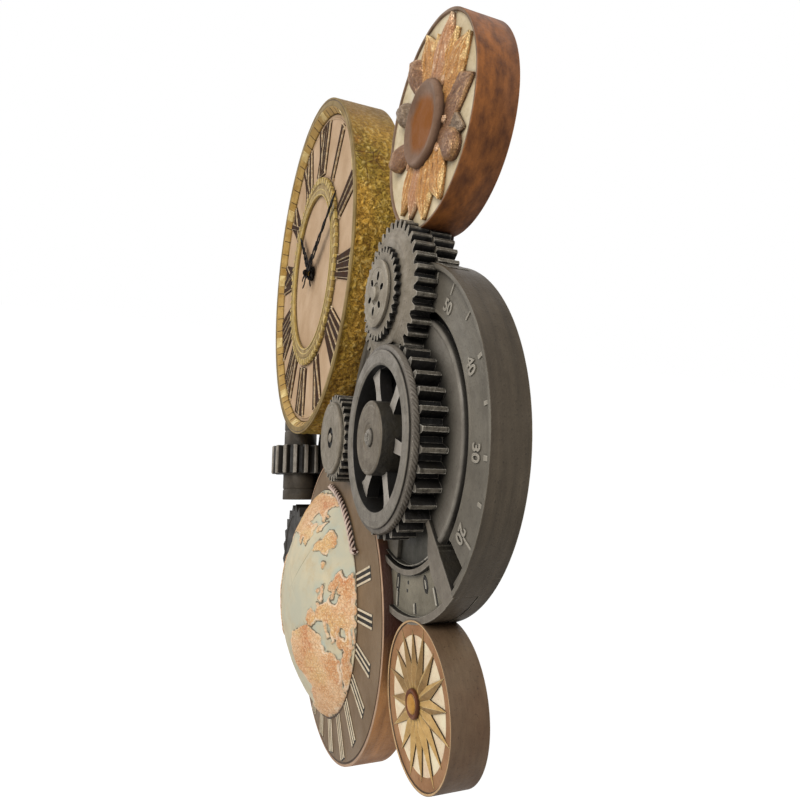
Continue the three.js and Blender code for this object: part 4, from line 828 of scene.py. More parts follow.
# %% Build the main drum
def main_drum():
    rows = [WALL + (MAIN_HEIGHT - 1.2 - WALL) * k / SIDE_ROWS for k in range(SIDE_ROWS + 1)]
    front = rounded(
        [(MAIN_R, MAIN_HEIGHT - 1.2), (MAIN_R, MAIN_HEIGHT), (MAIN_R - 1.5, MAIN_HEIGHT),
         (MAIN_R - 1.8, MAIN_HEIGHT - 0.35), (MAIN_R - 2.2, MAIN_HEIGHT - 0.35), (MAIN_R - 2.5, MAIN_HEIGHT),
         (MAIN_R - RIM_WIDTH + 1.0, MAIN_HEIGHT), (MAIN_R - RIM_WIDTH, MAIN_HEIGHT - 0.8),
         (PLATE_R + 0.6, PLATE_FRONT + 1.4), (PLATE_R + 0.3, 27.0), (MAIN_R - 10, 25.5),
         (MAIN_R - 10, BASE), (MAIN_R - DENT_DEPTH - SKIRT, BASE), (MAIN_R - DENT_DEPTH - SKIRT, WALL)],
        0.5, closed=False)[1:]
    loops = []
    for step in range(SIDE_STEPS):
        bearing = step * 360 / SIDE_STEPS
        fade = struck_at(bearing)
        loop = []
        for height in rows:
            edge = ease(height, WALL, WALL + 2) * ease(MAIN_HEIGHT - height, 1.0, 3.4)
            dip = DENT_DEPTH * fade * edge * (1 - dent_at(bearing, height))
            loop.append(at(MAIN, bearing, MAIN_R - dip, height))
        loops.append(loop + [at(MAIN, bearing, r, h) for r, h in front])
    form = Form(skin(loops, around=True, closed=True))

    def choose(point, normal):
        """0 for the struck side, 1 for the rim, 2 for the bevel and 3 for the fine groove on the rim, which
        takes painted shade.
        """
        away = distance(point, MAIN)
        if away > MAIN_R - 2.2 and -point.y < MAIN_HEIGHT - 0.9:
            return 0
        if MAIN_R - 2.3 < away < MAIN_R - 1.6:
            return 3
        return 2 if away < MAIN_R - RIM_WIDTH + 0.3 else 1

    drum = build("main_drum", form, [gold_side, rim_gold, bevel_gold, dark_line_and_shade],
                 nodes=["main_case"], choose=choose, crease=50)
    places = [v.co / MM for v in drum.data.vertices]
    keep_values(drum, "dent", [dent_at(bearing_of(p, MAIN), -p.y) for p in places])
    keep_values(drum, "struck", [struck_at(bearing_of(p, MAIN)) for p in places])
    return drum


def bearing_of(point, centre):
    return math.degrees(math.atan2(point.x - centre[0], point.z - centre[1])) % 360


bevel_gold = painted("Bevel gold", "9c7630", "bc9a58", "33230e", "e6cd8c", patch=80.0,
                     fine_grain=300.0, bump=0.8, rub_highlight_width=0.9, reach=4.0)
bevel_pale = painted("Bevel blocks", "e0c888", "b8985a", "33230e", "f6e4ac", patch=150.0, rub_highlight=1.0,
                     fine_grain=300.0, bump=0.6, rub_highlight_width=0.8, reach=3.0)
drum_piece = main_drum()
print("main drum:", len(drum_piece.data.vertices), "points")

# %% [markdown]
# The sunk dial has thick Roman numerals that stand proud of the plate, and a ring round its middle.
# Each numeral is a set of dark strokes on slightly wider pale ones, over a low dark bed: the pale rim
# round each stroke is a painted highlight, and the dark bed between the strokes is painted shadow.
# The thick and the thin strokes taper towards the centre, as they do on old clock dials, with a fine
# bar across both ends. On the bevel there is a block at each hour and a thin line at each other
# minute, and on the ring a stud at each minute.

# %% Numerals, minute studs and the dial plate
NUMERAL_IN = 91.5
NUMERAL_OUT = 135.2
NUMERAL_FRONT = 35.5
BED_FRONT = 33.7
THICK = 5.6
THIN = 3.2
PITCH = 8.2
TAPER = 0.70
EDGE = 0.5


def one(x):
    return [(x, x, THICK)]


def five(x):
    return [(x - 1.1, x - 0.1, THICK), (x + 1.1, x + 0.1, THIN)]


def ten(x):
    return [(x - 1.1, x + 1.1, THICK), (x + 1.1, x - 1.1, THIN)]


NUMERALS = [
    ten(-0.9) + one(0.9) + one(1.9), one(0), one(-0.55) + one(0.55), one(-1.1) + one(0) + one(1.1),
    one(-2.1) + one(-1.1) + one(0) + one(1.1), five(0), five(-0.6) + one(1.4),
    five(-1.1) + one(0.8) + one(1.8), five(-1.7) + one(0.2) + one(1.2) + one(2.2),
    one(-1.5) + ten(0.6), ten(0), ten(-0.6) + one(1.6)]


def raised(outline, back, front, inset):
    """A block on an outline whose top is drawn in all round, so that its sides slope."""
    middle = sum((Vector(p) for p in outline), Vector((0, 0))) / len(outline)
    top = []
    for i, corner in enumerate(outline):
        here = Vector(corner)
        before = (Vector(outline[i - 1]) - here).normalized()
        after = (Vector(outline[(i + 1) % len(outline)]) - here).normalized()
        inward = before + after
        if inward.length < 0.01:
            inward = (middle - here).normalized()
        top.append(here + inward.normalized() * inset * 1.3)
    loops = [[Vector((p[0], -back, p[1])) for p in outline], [Vector((p.x, -front, p.y)) for p in top]]
    return skin(loops, around=False, capped=True)


def numeral_shapes(hour, grow, front):
    """The strokes of one numeral, grown all round by an edge and raised to a height."""
    bearing = hour * 30
    shapes = []
    for outer_at, inner_at, width in NUMERALS[hour]:
        outer = outer_at * PITCH
        inner = inner_at * PITCH * TAPER
        half = width / 2 + grow
        corners = [place(MAIN, bearing, NUMERAL_OUT + grow, outer - half),
                   place(MAIN, bearing, NUMERAL_OUT + grow, outer + half),
                   place(MAIN, bearing, NUMERAL_IN - grow, inner + half * TAPER),
                   place(MAIN, bearing, NUMERAL_IN - grow, inner - half * TAPER)]
        shapes.append(raised(corners, PLATE_FRONT - 0.3, front, 0.3))
        for radius, middle, reach in ((NUMERAL_OUT, outer, half + 1.2), (NUMERAL_IN, inner, half + 0.4)):
            foot = [place(MAIN, bearing, radius + k * (0.9 + grow), middle + side * reach)
                    for k, side in ((-1, -1), (1, -1), (1, 1), (-1, 1))]
            shapes.append(raised(foot, PLATE_FRONT - 0.3, front - 0.2, 0.25))
    return shapes


# %% Build the numerals, their beds and the plate
for name, grow, front, look in (("dial_numerals", 0.0, NUMERAL_FRONT, numeral_brown),
                                ("dial_numeral_highlights", EDGE, NUMERAL_FRONT - 0.5, numeral_highlight)):
    numerals = Form()
    for hour in range(12):
        for shape in numeral_shapes(hour, grow, front):
            numerals.add(shape)
    build(name, numerals, look, bevel=0.15)
beds = Form()
for hour in range(12):
    half = max(abs(outer_at) * PITCH + width / 2 for outer_at, _, width in NUMERALS[hour]) + 1.6
    beds.add(bar(MAIN, hour * 30, NUMERAL_IN - 1.6, NUMERAL_OUT + 1.6, half * TAPER, PLATE_FRONT - 0.3,
                 BED_FRONT, half))
build("dial_numeral_shadow_beds", beds, numeral_shadow_bed, bevel=0.3)

print("numerals:", len(NUMERALS), "with", sum(len(n) for n in NUMERALS), "strokes")

plate = rounded([(4.3, 30), (PLATE_R, 30), (PLATE_R, PLATE_FRONT), (138.6, PLATE_FRONT),
                 (138.2, PLATE_FRONT + 0.6), (137.4, PLATE_FRONT + 0.6), (137.0, PLATE_FRONT),
                 (4.3, PLATE_FRONT)], 0.25)
build("dial_face", Form(turned(MAIN, plate, 240)), plate_taupe, nodes=["dial_plate"])


# %% Hour blocks and minute lines on the bevel
def on_bevel(bearing, half, rise):
    """A block that lies on the slope of the bevel, half being half its width in degrees."""
    section = ((141.3, 33.0), (141.3, 34.1 + rise), (145.6, 38.8 + rise), (146.3, 38.8 + rise), (146.3, 38.0))
    loops = [[at(MAIN, b, r, h) for r, h in section] for b in (bearing - half, bearing, bearing + half)]
    return skin(loops, around=False, closed=True, capped=True)


hour_blocks = Form()
minute_lines = Form()
for minute in range(60):
    if minute % 5 == 0:
        hour_blocks.add(on_bevel(minute * 6, 2.4, 1.0))
    else:
        minute_lines.add(on_bevel(minute * 6, 0.14, 0.3))
build("bevel_blocks", hour_blocks, bevel_pale, bevel=0.4)
build("bevel_minute_lines", minute_lines, dark_line_and_shade)

# %% The ring round the middle of the dial
RING_IN = 71.6
RING_OUT = 87.0
RING_FRONT = 36.2
section = rounded([(RING_IN, 33.05), (RING_OUT, 33.05), (RING_OUT, 35.3), (RING_OUT - 1.0, RING_FRONT),
                   (RING_OUT - 5.0, RING_FRONT), (RING_OUT - 5.5, RING_FRONT - 0.7),
                   (RING_OUT - 6.3, RING_FRONT - 0.7), (RING_OUT - 6.8, RING_FRONT),
                   (RING_IN + 2.6, RING_FRONT - 0.2), (RING_IN + 0.6, RING_FRONT - 0.7),
                   (RING_IN, 34.3)], 0.4)
ring = Form(turned(MAIN, section, 240))
ring_studs = Form()
for minute in range(60):
    half = 3.3 if minute % 5 == 0 else 1.5
    ring_studs.add(bar(MAIN, minute * 6, RING_OUT - 4.8, RING_OUT + 0.5, half, 33.6, RING_FRONT + 0.5))
build("middle_ring", ring, ring_gold, nodes=["inner_ring"], bevel=0.3)
build("ring_studs", ring_studs, ring_stud, bevel=0.3)
rail = Form()
for radius in (RING_IN + 0.2, RING_IN + 4.6):
    section = [(radius, 34.8), (radius + 1.3, 34.8), (radius + 1.3, 36.5), (radius, 36.3)]
    rail.add(turned(MAIN, rounded(section, 0.4), 240))
build("ring_rail", rail, ring_stud)

# %% [markdown]
# The hands are cut from thin sheet: two strands that cross each other like a plait, loops between
# the crossings, a leaf where the strands part and a forked tail. A strand is a flat ribbon along a
# curve, so each hand is a few ribbons of one thickness, and each rides on the shaft that turns it.

# %% Serpentine hands
def ribbon(path, widths, back, front):
    """A flat strip along (x, z) places, with a width at each."""
    left = []
    right = []
    for i, here in enumerate(path):
        ahead = Vector(path[min(i + 1, len(path) - 1)]) - Vector(path[max(i - 1, 0)])
        side = Vector((ahead.y, -ahead.x)).normalized() * (widths[i] / 2)
        left.append(Vector(here) - side)
        right.append(Vector(here) + side)
    loops = []
    for a, b in zip(left, right):
        corners = ((a, back), (b, back), (b, front), (a, front))
        loops.append([Vector((p.x, -h, p.y)) for p, h in corners])
    return skin(loops, around=False, closed=True, capped=True)


# %% The shape of a hand
HAND_THICK = 0.8


def hand(name, body, nodes, bearing, length, tail, back, hole):
    """A hand over its hole: two strands, the leaves between them, a spear tip and a forked tail."""
    front = back + HAND_THICK
    form = Form()
    start = hole + 2.0
    steps = 90
    for side in (-1, 1):
        path = []
        widths = []
        for i in range(steps + 1):
            share = i / steps
            swing = math.sin(share * math.pi * 5) * (4.6 - 3.6 * share)
            path.append(place(MAIN, bearing, start + (length * 0.86 - start) * share, side * swing))
            widths.append(2.7 - 1.2 * share + 0.6 * abs(math.cos(share * math.pi * 5)))
        form.add(ribbon(path, widths, back, front))
    for centre_share, long, wide in ((0.18, 3.4, 5.4), (0.35, 4.8, 4.4), (0.60, 4.0, 3.2), (0.78, 3.2, 2.4)):
        middle = length * centre_share
        leaf = [place(MAIN, bearing, middle + long * math.cos(t),
                      wide * math.sin(t) * (1 + 0.4 * math.cos(t))) for t in angles(15)]
        form.add(prism(leaf, back, front))
    spear = [(0.80, 1.3), (0.86, 3.0), (0.90, 1.6), (0.94, 1.2), (1.0, 0.3)]
    outline = [place(MAIN, bearing, length * s, w) for s, w in spear]
    outline += [place(MAIN, bearing, length * s, -w) for s, w in reversed(spear)]
    form.add(prism(outline, back, front))
    for side in (-1, 1):
        curl = [place(MAIN, bearing, -hole - 1.5 - (tail - hole - 1.5) * t, side * 4.8 * math.sin(t * 2.2))
                for t in (k / 14 for k in range(15))]
        form.add(ribbon(curl, [3.0 - 1.4 * k / 14 for k in range(15)], back, front))
    form.add(turned(MAIN, [(hole, back), (hole + 3.6, back), (hole + 3.6, front), (hole, front)], 48))
    return build(name, form, black_lacquer, body=body, nodes=nodes, bevel=0.15)


# %% A factory finish
def plain(name, base, second, rough, metal=0.0, bump=0.1, scale=400.0, coat=0.0, shine=0.5):
    """A factory finish: fine grain, faint tone and slightly lighter edges, which are a painted highlight."""
    look, tree, shader = new_look(name)
    tone = placed(tree, patchy, patch_scale=60.0, grain_scale=scale)
    colour = mixed(tree, tone["Tone"], paint(base), paint(second))
    bare_and_highlit = placed(tree, rubbed_highlights, width=0.0003, amount=0.35)["Mask"]
    colour = mixed(tree, bare_and_highlit, colour, paint("d8d8d4" if metal > 0.5 else "5c5c5a"))
    shader["Coat Weight"].default_value = coat
    rough_at = spread(tree, tone["Tone"], 0.0, 1.0, rough, rough + 0.14)
    finish_look(tree, shader, colour, rough_at, metal=metal, shine=shine, height=tone["Height"],
                bump=bump, depth=0.0003)
    return look


# %% The two hands and their nut
black_lacquer = plain("Black lacquer", "0e0b08", "17120d", 0.6, bump=0.3, shine=0.05)
MINUTE_BEARING = 9 * 6
HOUR_BEARING = 10 * 30 + 4.5
hand("minute_hand_cut", "minute_arbor", ["minute_hand"], MINUTE_BEARING, 104.0, 18.0, 39.0, 1.8)
hand("hour_hand_cut", "hour_tube", ["hour_hand"], HOUR_BEARING, 70.0, 16.0, 36.5, 2.9)
nut = rounded([(1.8, 40.1), (3.0, 40.1), (3.0, 41.6), (1.9, 42.7), (0.9, 43.1), (0.0, 43.15), (0, 41.9),
               (1.8, 41.9)], 0.3)
build("hand_cap", Form(turned(MAIN, nut, 48)), black_lacquer, body="minute_arbor",
      nodes=["hand_nut"])
print("hands at", MINUTE_BEARING, "and", HOUR_BEARING, "degrees")

# %% [markdown]
# The rosette is a copper drum with a cream face. Fifteen lobes spread from under a shallow dished
# boss, each on the bearing where its tip is seen: leaves with three veins, petals with one, flat
# blades, and round knobs that turn up. A lobe is a patch of points, domed across and lowered along
# its veins, with a wall down to the face all round. Six small petals lie between them near the boss.

# %% The rosette's drum
ROSETTE_HEIGHT = 25.0
FACE_DROP = 1.6


def medallion(centre, radius, height, lip, drop):
    """A drum with a thin raised lip round its face."""
    front = [(radius, BASE), (radius, height), (radius - lip, height), (radius - lip - 0.5, height - drop),
             (0, height - drop)]
    return turned(centre, skirted(radius, rounded(front, 0.7, closed=False)), 220)


def rosette_looks(point, normal):
    """0 for the side, 1 for the face and 2 for the lip."""
    away = distance(point, ROSETTE)
    if away > ROSETTE_R - 0.5:
        return 0
    return 1 if -point.y < ROSETTE_HEIGHT - 0.9 and away < ROSETTE_R - 2.4 else 2


lip_taupe = painted("Lip taupe", "7c6048", "64503c", "2a1a10", "d0b088", patch=150.0, rub_highlight=1.0)
build("rosette_case", Form(medallion(ROSETTE, ROSETTE_R, ROSETTE_HEIGHT, 1.8, FACE_DROP)),
      [copper_side, cream_face, lip_taupe], nodes=["rosette_drum"], choose=rosette_looks)

# %% The shape of a lobe
FACE = ROSETTE_HEIGHT - FACE_DROP
LEAF_STEPS = 34
LEAF_ACROSS = 40
VEINS = {"leaf": (-0.52, 0.0, 0.50), "petal": (0.05,), "blade": (-0.1,), "knob": ()}
VEIN_DEPTH = {"leaf": 0.16, "petal": 0.18, "blade": 0.10, "knob": 0.0}


def leaf_half(kind, u):
    """How wide a lobe is along its length, as a share of its greatest width."""
    if kind == "knob":
        shape = 0.5 + 0.5 * math.sin(min(1.0, u / 0.66) * math.pi / 2) ** 1.5
        return shape * math.sqrt(max(0.0, 1 - max(0.0, (u - 0.66) / 0.34) ** 2))
    if kind == "blade":
        return 1 - 0.97 * u ** 1.15
    shape = 0.84 + 0.16 * math.sin(min(1.0, u / 0.5) * math.pi / 2)
    return shape * (1 - max(0.0, (u - 0.45) / 0.55) ** 1.35)


lobe_lights = {}


def lobe(bearing, start, stop, width, rise, curl, lean=0.0, kind="leaf"):
    """One cast lobe on the rosette's face, with a wall down to the face all round. How bright each
    point should be, from 0 in a vein to 1 on a rib, brighter towards the tip and the edges, is kept for
    the paint: painted shade in the veins and painted highlights on the ribs, tips and edges."""
    rows = []
    for i in range(LEAF_STEPS + 1):
        u = i / LEAF_STEPS
        half = max(width / 2 * leaf_half(kind, u), 0.15)
        row = []
        for k in range(LEAF_ACROSS + 1):
            v = k / LEAF_ACROSS * 2 - 1
            bend = 0.06 * math.sin(u * 6 + bearing)
            rib = ease(min([abs(v - vein - bend) for vein in VEINS[kind]], default=1.0), 0.0, 0.2)
            body = 0.5 + 0.5 * math.sin(min(1.0, u * 1.1) * math.pi)
            edge = 1 - abs(v) ** (12 if kind == "blade" else 4)
            fine = noise.noise(Vector((u * 9 + bearing, v * 4, 2.0)))
            crinkle = noise.noise(Vector((u * 22 + bearing, v * 12, 6.0)))
            lift = 0.6 + rise * body * edge * (1 - VEIN_DEPTH[kind] * (1 - rib)) + 0.3 * fine + 0.2 * crinkle
            if kind == "knob":
                lift += rise * 0.6 * math.sqrt(max(0.0, 1 - v * v)) * ease(u, 0.3, 0.8)
            lift += curl * ease(u, 0.35, 0.85)
            spot = place(ROSETTE, bearing, start + (stop - start) * u, v * half + lean * u * u)
            point = Vector((spot[0], -(FACE + max(lift, 0.45)), spot[1]))
            # Painted light: high on the ribs, towards the tip and along the edges as highlights, low in the
            # veins as shade.
            bright = 0.30 + 0.24 * rib + 0.32 * fine + 0.22 * crinkle + 0.24 * ease(u, 0.45, 1.0)
            bright += 0.25 * abs(v) ** 8
            lobe_lights[spot_key(point)] = min(1.0, max(0.0, bright))
            row.append(point)
        wall = [Vector((p.x, -(FACE - 0.1), p.z)) for p in reversed(row)]
        rows.append(row + wall)
    return skin(rows, around=False, closed=True, capped=True)


# %% Crackled paint for the petals
def petal_paint(name, rib, body, vein):
    """Crackled metallic paint: bright on the ribs and dark in the veins, as painted highlights and
    painted shade.
    """
    look, tree, shader = new_look(name)
    lobe_light = point_value(tree, "lobe_light")
    tone = placed(tree, patchy, patch_scale=70.0, grain_scale=450.0)
    crackle = seams(tree, object_place(tree), 620.0, 0.16, 0.02)
    # Vein colour where the lobe is dark and rib colour where it is bright: painted shade and painted
    # highlights.
    colour = mixed(tree, spread(tree, lobe_light, 0.0, 0.34), paint(vein), paint(body))
    rib_highlight = times(tree, spread(tree, lobe_light, 0.55, 0.90), spread(tree, tone["Tone"], 0.15, 0.75))
    colour = mixed(tree, rib_highlight, colour, paint(rib))
    colour = coats(tree, colour, (crackle, 0.35, vein), (tone["Speckle"], 0.5, rib))
    # The corner wash adds painted shade round the lobes.
    corner = placed(tree, wash_and_shade, reach=0.004, amount=0.9)["Mask"]
    colour = mixed(tree, corner, colour, paint("24130a"))
    bare_and_highlit = placed(tree, rubbed_highlights, width=0.0008, amount=0.8)["Mask"]
    colour = mixed(tree, bare_and_highlit, colour, paint(rib))
    height = sums(tree, "SUBTRACT", tone["Height"], times(tree, crackle, 0.7))
    finish_look(tree, shader, colour, spread(tree, lobe_light, 0.2, 0.9, 0.62, 0.36), metal=0.35, shine=0.5,
                height=height, bump=0.6, depth=0.0007)
    return look


# %% The rosette's lobes
# The last column gives gold to lobes at the top and bottom and bronze to some at the sides: a painted
# reflection.
LOBES = [
    (-11, 57.5, 32, 2.6, 1.0, -2, "leaf", 0), (53, 58.5, 32, 2.8, 1.2, 2, "leaf", 0),
    (37, 53.0, 20, 3.0, 1.0, 0, "leaf", 0), (5, 50.0, 18, 2.6, 0.8, 0, "leaf", 0),
    (22, 58.5, 25, 4.0, 0.6, 0, "petal", 3), (82, 57.0, 46, 1.8, 0.8, -2, "blade", 1),
    (106, 54.0, 34, 1.4, 0.6, 0, "blade", 2), (118, 55.0, 17, 2.6, 2.2, 0, "knob", 1),
    (143, 58.5, 25, 3.0, 1.8, 3, "leaf", 0), (209, 55.0, 24, 2.8, 1.0, -2, "leaf", 0),
    (190, 54.5, 24, 3.2, 1.0, 0, "leaf", 3), (168, 58.0, 28, 3.6, 1.0, 0, "leaf", 0),
    (254, 49.5, 17, 3.0, 3.0, 0, "knob", 1), (294, 49.0, 15, 2.8, 2.8, 0, "knob", 2),
    (329, 50.5, 18, 3.0, 3.2, 0, "knob", 1)]
lit_petal_gold = petal_paint("Petal gold, painted reflection", "ffe0a0", "b47c38", "4a2811")
shaded_petal_bronze = petal_paint("Petal bronze, painted shade", "c09464", "7a5334", "2c180c")
petal_grey = petal_paint("Petal taupe", "a88e70", "6c563e", "2a1a10")
petal_rose = petal_paint("Petal rose gold", "f8d8b0", "b07c50", "5a3218")
leaves = Form()
for bearing, reach, width, rise, curl, lean, kind, look in LOBES:
    leaves.add(lobe(bearing, 19.0, reach, width, rise, curl, lean, kind), look)
petals = build("rosette_petals", leaves, [lit_petal_gold, shaded_petal_bronze, petal_grey, petal_rose],
               nodes=["rosette_leaves"], crease=60)
mark(petals, "lobe_light", lobe_lights)
INNER_PETALS = [(48, 31, 6), (99, 31, 5), (130, 32, 6), (226, 31, 6), (288, 31, 5), (330, 32, 6)]
tips = Form()
for bearing, reach, width in INNER_PETALS:
    tips.add(lobe(bearing, 20.0, reach, width, 2.0, 0.6, 0.0, "knob"))
inner_petals = build("rosette_inner_petals", tips, petal_rose, crease=60)
mark(inner_petals, "lobe_light", lobe_lights)
print("lobes:", len(LOBES), "and inner petals:", len(INNER_PETALS))

# %% The rosette's boss
boss_line = rounded([(0, 24.4), (24.4, 24.4), (25.0, 26.0), (24.8, 28.2), (24.0, 29.6), (22.8, 30.2),
                     (21.4, 29.8), (18.6, 28.6), (16.0, 28.0), (13.0, 28.0), (6.0, 28.5), (0, 28.7)], 0.8,
                    closed=False)
build("rosette_dome", Form(turned(ROSETTE, boss_line, 120)), boss_bronze, nodes=["rosette_boss"],
      crease=70)

# %% [markdown]
# The sun medallion is a taupe drum with a band of reddish gold round a cream field, a star of
# sixteen rays in two lengths, and a small domed boss. Each ray is folded along a ridge like a roof,
# so one half of it always catches the light; the two halves also take a lighter and a darker paint,
# painted light and shade, and the rays meet in a nearly flat hub.

# %% The sun medallion
SUN_HEIGHT = 21.4
SUN_FACE = SUN_HEIGHT - FACE_DROP


def sun_looks(point, normal):
    """0 for the side, 3 for the rim, 4 for the dark line at the rim's inner foot, which is painted
    shade, 1 for the band and 2 for the field.
    """
    away = distance(point, SUN)
    if away > SUN_R - 0.35:
        return 0
    if away > SUN_R - 1.3:
        return 3
    if away > SUN_R - 1.9:
        return 4
    return 1 if away > 34.6 else 2


sun_rim = painted("Sun rim", "c4a070", "a88660", "452a16", "ead2a4", patch=150.0, rub_highlight=1.0)
face = [(SUN_R, BASE), (SUN_R, SUN_HEIGHT), (SUN_R - 1.1, SUN_HEIGHT), (SUN_R - 1.5, SUN_HEIGHT - 0.9),
        (SUN_R - 2.4, SUN_HEIGHT - 0.9), (35.0, SUN_HEIGHT - 1.0), (34.4, SUN_FACE), (0, SUN_FACE)]
build("sun_case", Form(turned(SUN, skirted(SUN_R, rounded(face, 0.3, closed=False)), 200)),
      [sun_taupe, sun_band, sun_cream, sun_rim, dark_line_and_shade], nodes=["sun_drum"], choose=sun_looks)

# %% The star on the sun medallion
VALLEY_R = 17.8
HALF_PITCH = 11.25
RIDGE_RISE = 3.2
STAR_HUB_R = 8.4
EDGE_RISE = 0.75
RAYS = 16
star = Form()
for i in range(RAYS):
    bearing = i * 360 / RAYS - 3.5
    tip = 40.6 if i % 2 == 0 else 37.4
    low_at = SUN_FACE - 0.3
    hill = at(SUN, bearing, 14, SUN_FACE + RIDGE_RISE)
    hub_ridge = at(SUN, bearing, STAR_HUB_R, SUN_FACE + 2.5)
    peak = at(SUN, bearing, 0, SUN_FACE + 2.3)
    end = at(SUN, bearing, tip, SUN_FACE + EDGE_RISE + 0.1)
    end_low = at(SUN, bearing, tip + 0.2, low_at)
    for side, look in ((-1, 0), (1, 1)):
        valley = at(SUN, bearing + side * HALF_PITCH, VALLEY_R, SUN_FACE + EDGE_RISE)
        inner = at(SUN, bearing + side * HALF_PITCH, STAR_HUB_R, SUN_FACE + 2.2)
        valley_low = at(SUN, bearing + side * HALF_PITCH, VALLEY_R + 0.2, low_at)
        star.add(([peak, hub_ridge, inner], [(0, 1, 2)]), look)
        star.add(([hub_ridge, hill, inner], [(0, 1, 2)]), look)
        star.add(([hill, valley, inner], [(0, 1, 2)]), look)
        star.add(([hill, end, valley], [(0, 1, 2)]), look)
        star.add(([valley, end, end_low, valley_low], [(0, 1, 2, 3)]), 2)
        star.add(([at(SUN, bearing, 0, low_at), end_low, valley_low], [(0, 1, 2)]), 2)
# The gold halves of the rays are painted light, the olive halves painted shade, and the dark walls round them
# painted shade.
build("sun_rays", star, [lit_star_gold, shaded_star_olive, dark_line_and_shade], nodes=["sun_star"], crease=8,
      bevel=0.1)

button = rounded([(0, SUN_FACE + 1), (7.6, SUN_FACE + 1), (7.7, SUN_FACE + 4.0), (7.0, SUN_FACE + 4.8),
                  (5.8, SUN_FACE + 4.0)], 0.4, closed=False)
button += [(5.2 * math.cos(t), SUN_FACE + 3.9 + 1.8 * math.sin(t)) for t in angles(15, 90)]
button.append((0, SUN_FACE + 5.7))
button_ring = painted("Sun button ring", "6e3c1c", "522c16", "1c0d06", "a87440", patch=110.0)
build("sun_button", Form(turned(SUN, button, 72)), [button_ring, sun_gold], nodes=["sun_boss"],
      choose=lambda point, normal: 1 if distance(point, SUN) < 5.3 else 0)
print("rays:", RAYS)

# %% [markdown]
# The number dial is the broad dished disc that carries the gears. Its section has a ridge at the
# edge, the face with the numbers, a groove and an inner disc. Between two bearings it is let down
# for the sextant, so its outer part is swept only over the rest of the circle.

# %% The number dial
RIDGE = 22.0
NUMBER_FACE = 19.0
GROOVE_IN = 75.4
WELL_R = 76.3
GROOVE_OUT = 81.0
GROOVE_FLOOR = 14.0
POCKET_TO = 213.0
POCKET_FLOOR = 7.0
POCKET_END = 99.0
PANEL_FROM = 117.5
PANEL_TO = 125.2
edge_line = [(DIAL_R, BASE), (DIAL_R, RIDGE), (DIAL_R - 2.6, RIDGE), (DIAL_R - 3.4, RIDGE - 1.2),
             (DIAL_R - 3.8, NUMBER_FACE)]
outer = [(WELL_R, BASE)] + skirted(DIAL_R, rounded(edge_line + [
    (GROOVE_OUT + 1.6, NUMBER_FACE), (GROOVE_OUT + 1.2, NUMBER_FACE + 0.4), (GROOVE_OUT, NUMBER_FACE + 0.4),
    (GROOVE_OUT, GROOVE_FLOOR), (WELL_R, GROOVE_FLOOR)], 0.4, closed=False))[1:]
outer_end = [(POCKET_END, BASE)] + skirted(DIAL_R, rounded(edge_line + [
    (POCKET_END + 0.8, NUMBER_FACE), (POCKET_END, NUMBER_FACE - 0.6)], 0.3, closed=False))[1:]
floor_line = [(WELL_R, BASE)] + skirted(
    DIAL_R, [(DIAL_R, BASE), (DIAL_R, POCKET_FLOOR), (WELL_R, POCKET_FLOOR)])[1:]
dial = Form(turned(DIAL, outer, 260, POCKET_TO, PANEL_FROM + 360))
dial.add(turned(DIAL, outer_end, 12, PANEL_FROM, PANEL_TO))
dial.add(turned(DIAL, [(0, BASE), (WELL_R, BASE), (WELL_R, GROOVE_FLOOR), (0, GROOVE_FLOOR)], 200))
panel_floor = [(WELL_R, BASE), (POCKET_END, BASE), (POCKET_END, POCKET_FLOOR), (WELL_R, POCKET_FLOOR)]
dial.add(turned(DIAL, panel_floor, 12, PANEL_FROM, PANEL_TO))
dial.add(turned(DIAL, floor_line, 80, PANEL_TO, POCKET_TO))


# %% Looks of the number dial
def dial_looks(point, normal):
    """1 for the side, 3 for the floor under the sextant, 2 for the groove and 0 for the face; the floor
    and the groove take painted shade.
    """
    away = distance(point, DIAL)
    if away > DIAL_R - 0.2:
        return 1
    if -point.y < POCKET_FLOOR + 0.5:
        return 3
    return 2 if -point.y < NUMBER_FACE - 0.4 and away < GROOVE_OUT + 0.5 else 0


# A darker pewter for the floor under the sextant and the sunk steps of the inner disc: painted shade.
shaded_pocket_floor = painted("Pocket floor, painted shade", "4a463c", "3a372f", "0d0c0a", "8c8678", patch=50.0,
                       reach=10.0)
build("number_dial_cast", dial, [dial_pewter, dial_side, shade_and_mark_black, shaded_pocket_floor],
      nodes=["number_dial"], choose=dial_looks)

# %% The inner disc, with its sunk steps beside the sextant
disc = rounded([(0, 14.3), (GROOVE_IN, 14.3), (GROOVE_IN, 18.6), (GROOVE_IN - 0.9, 19.6),
                (GROOVE_IN - 2.4, 19.6), (GROOVE_IN - 3.2, 19.0), (0, 19.0)], 0.5, closed=False)
disc.insert(-1, (47.5, 19.0))
inner_disc = build("inner_disc_cast", Form(turned(DIAL, disc, 200)),
                   [disc_pewter, shaded_pocket_floor, shadow_black], nodes=["inner_disc"])


def sector(centre, inner, outer_radius, start, stop, back, front, step=2.0):
    """A block between two radii and two bearings."""
    count = max(2, math.ceil((stop - start) / step))
    bearings = [start + (stop - start) * i / count for i in range(count + 1)]
    section = ((inner, back), (outer_radius, back), (outer_radius, front), (inner, front))
    loops = [[at(centre, b, r, h) for r, h in section] for b in bearings]
    return skin(loops, around=False, closed=True, capped=True)


SUNK_FLOOR = 15.0
# The disc's middle, seen only through the wheel's openings, takes the near black painted shadow.
for face in inner_disc.data.polygons:
    if distance(face.center / MM, DIAL) < 47 and face.normal.y < 0:
        face.material_index = 2
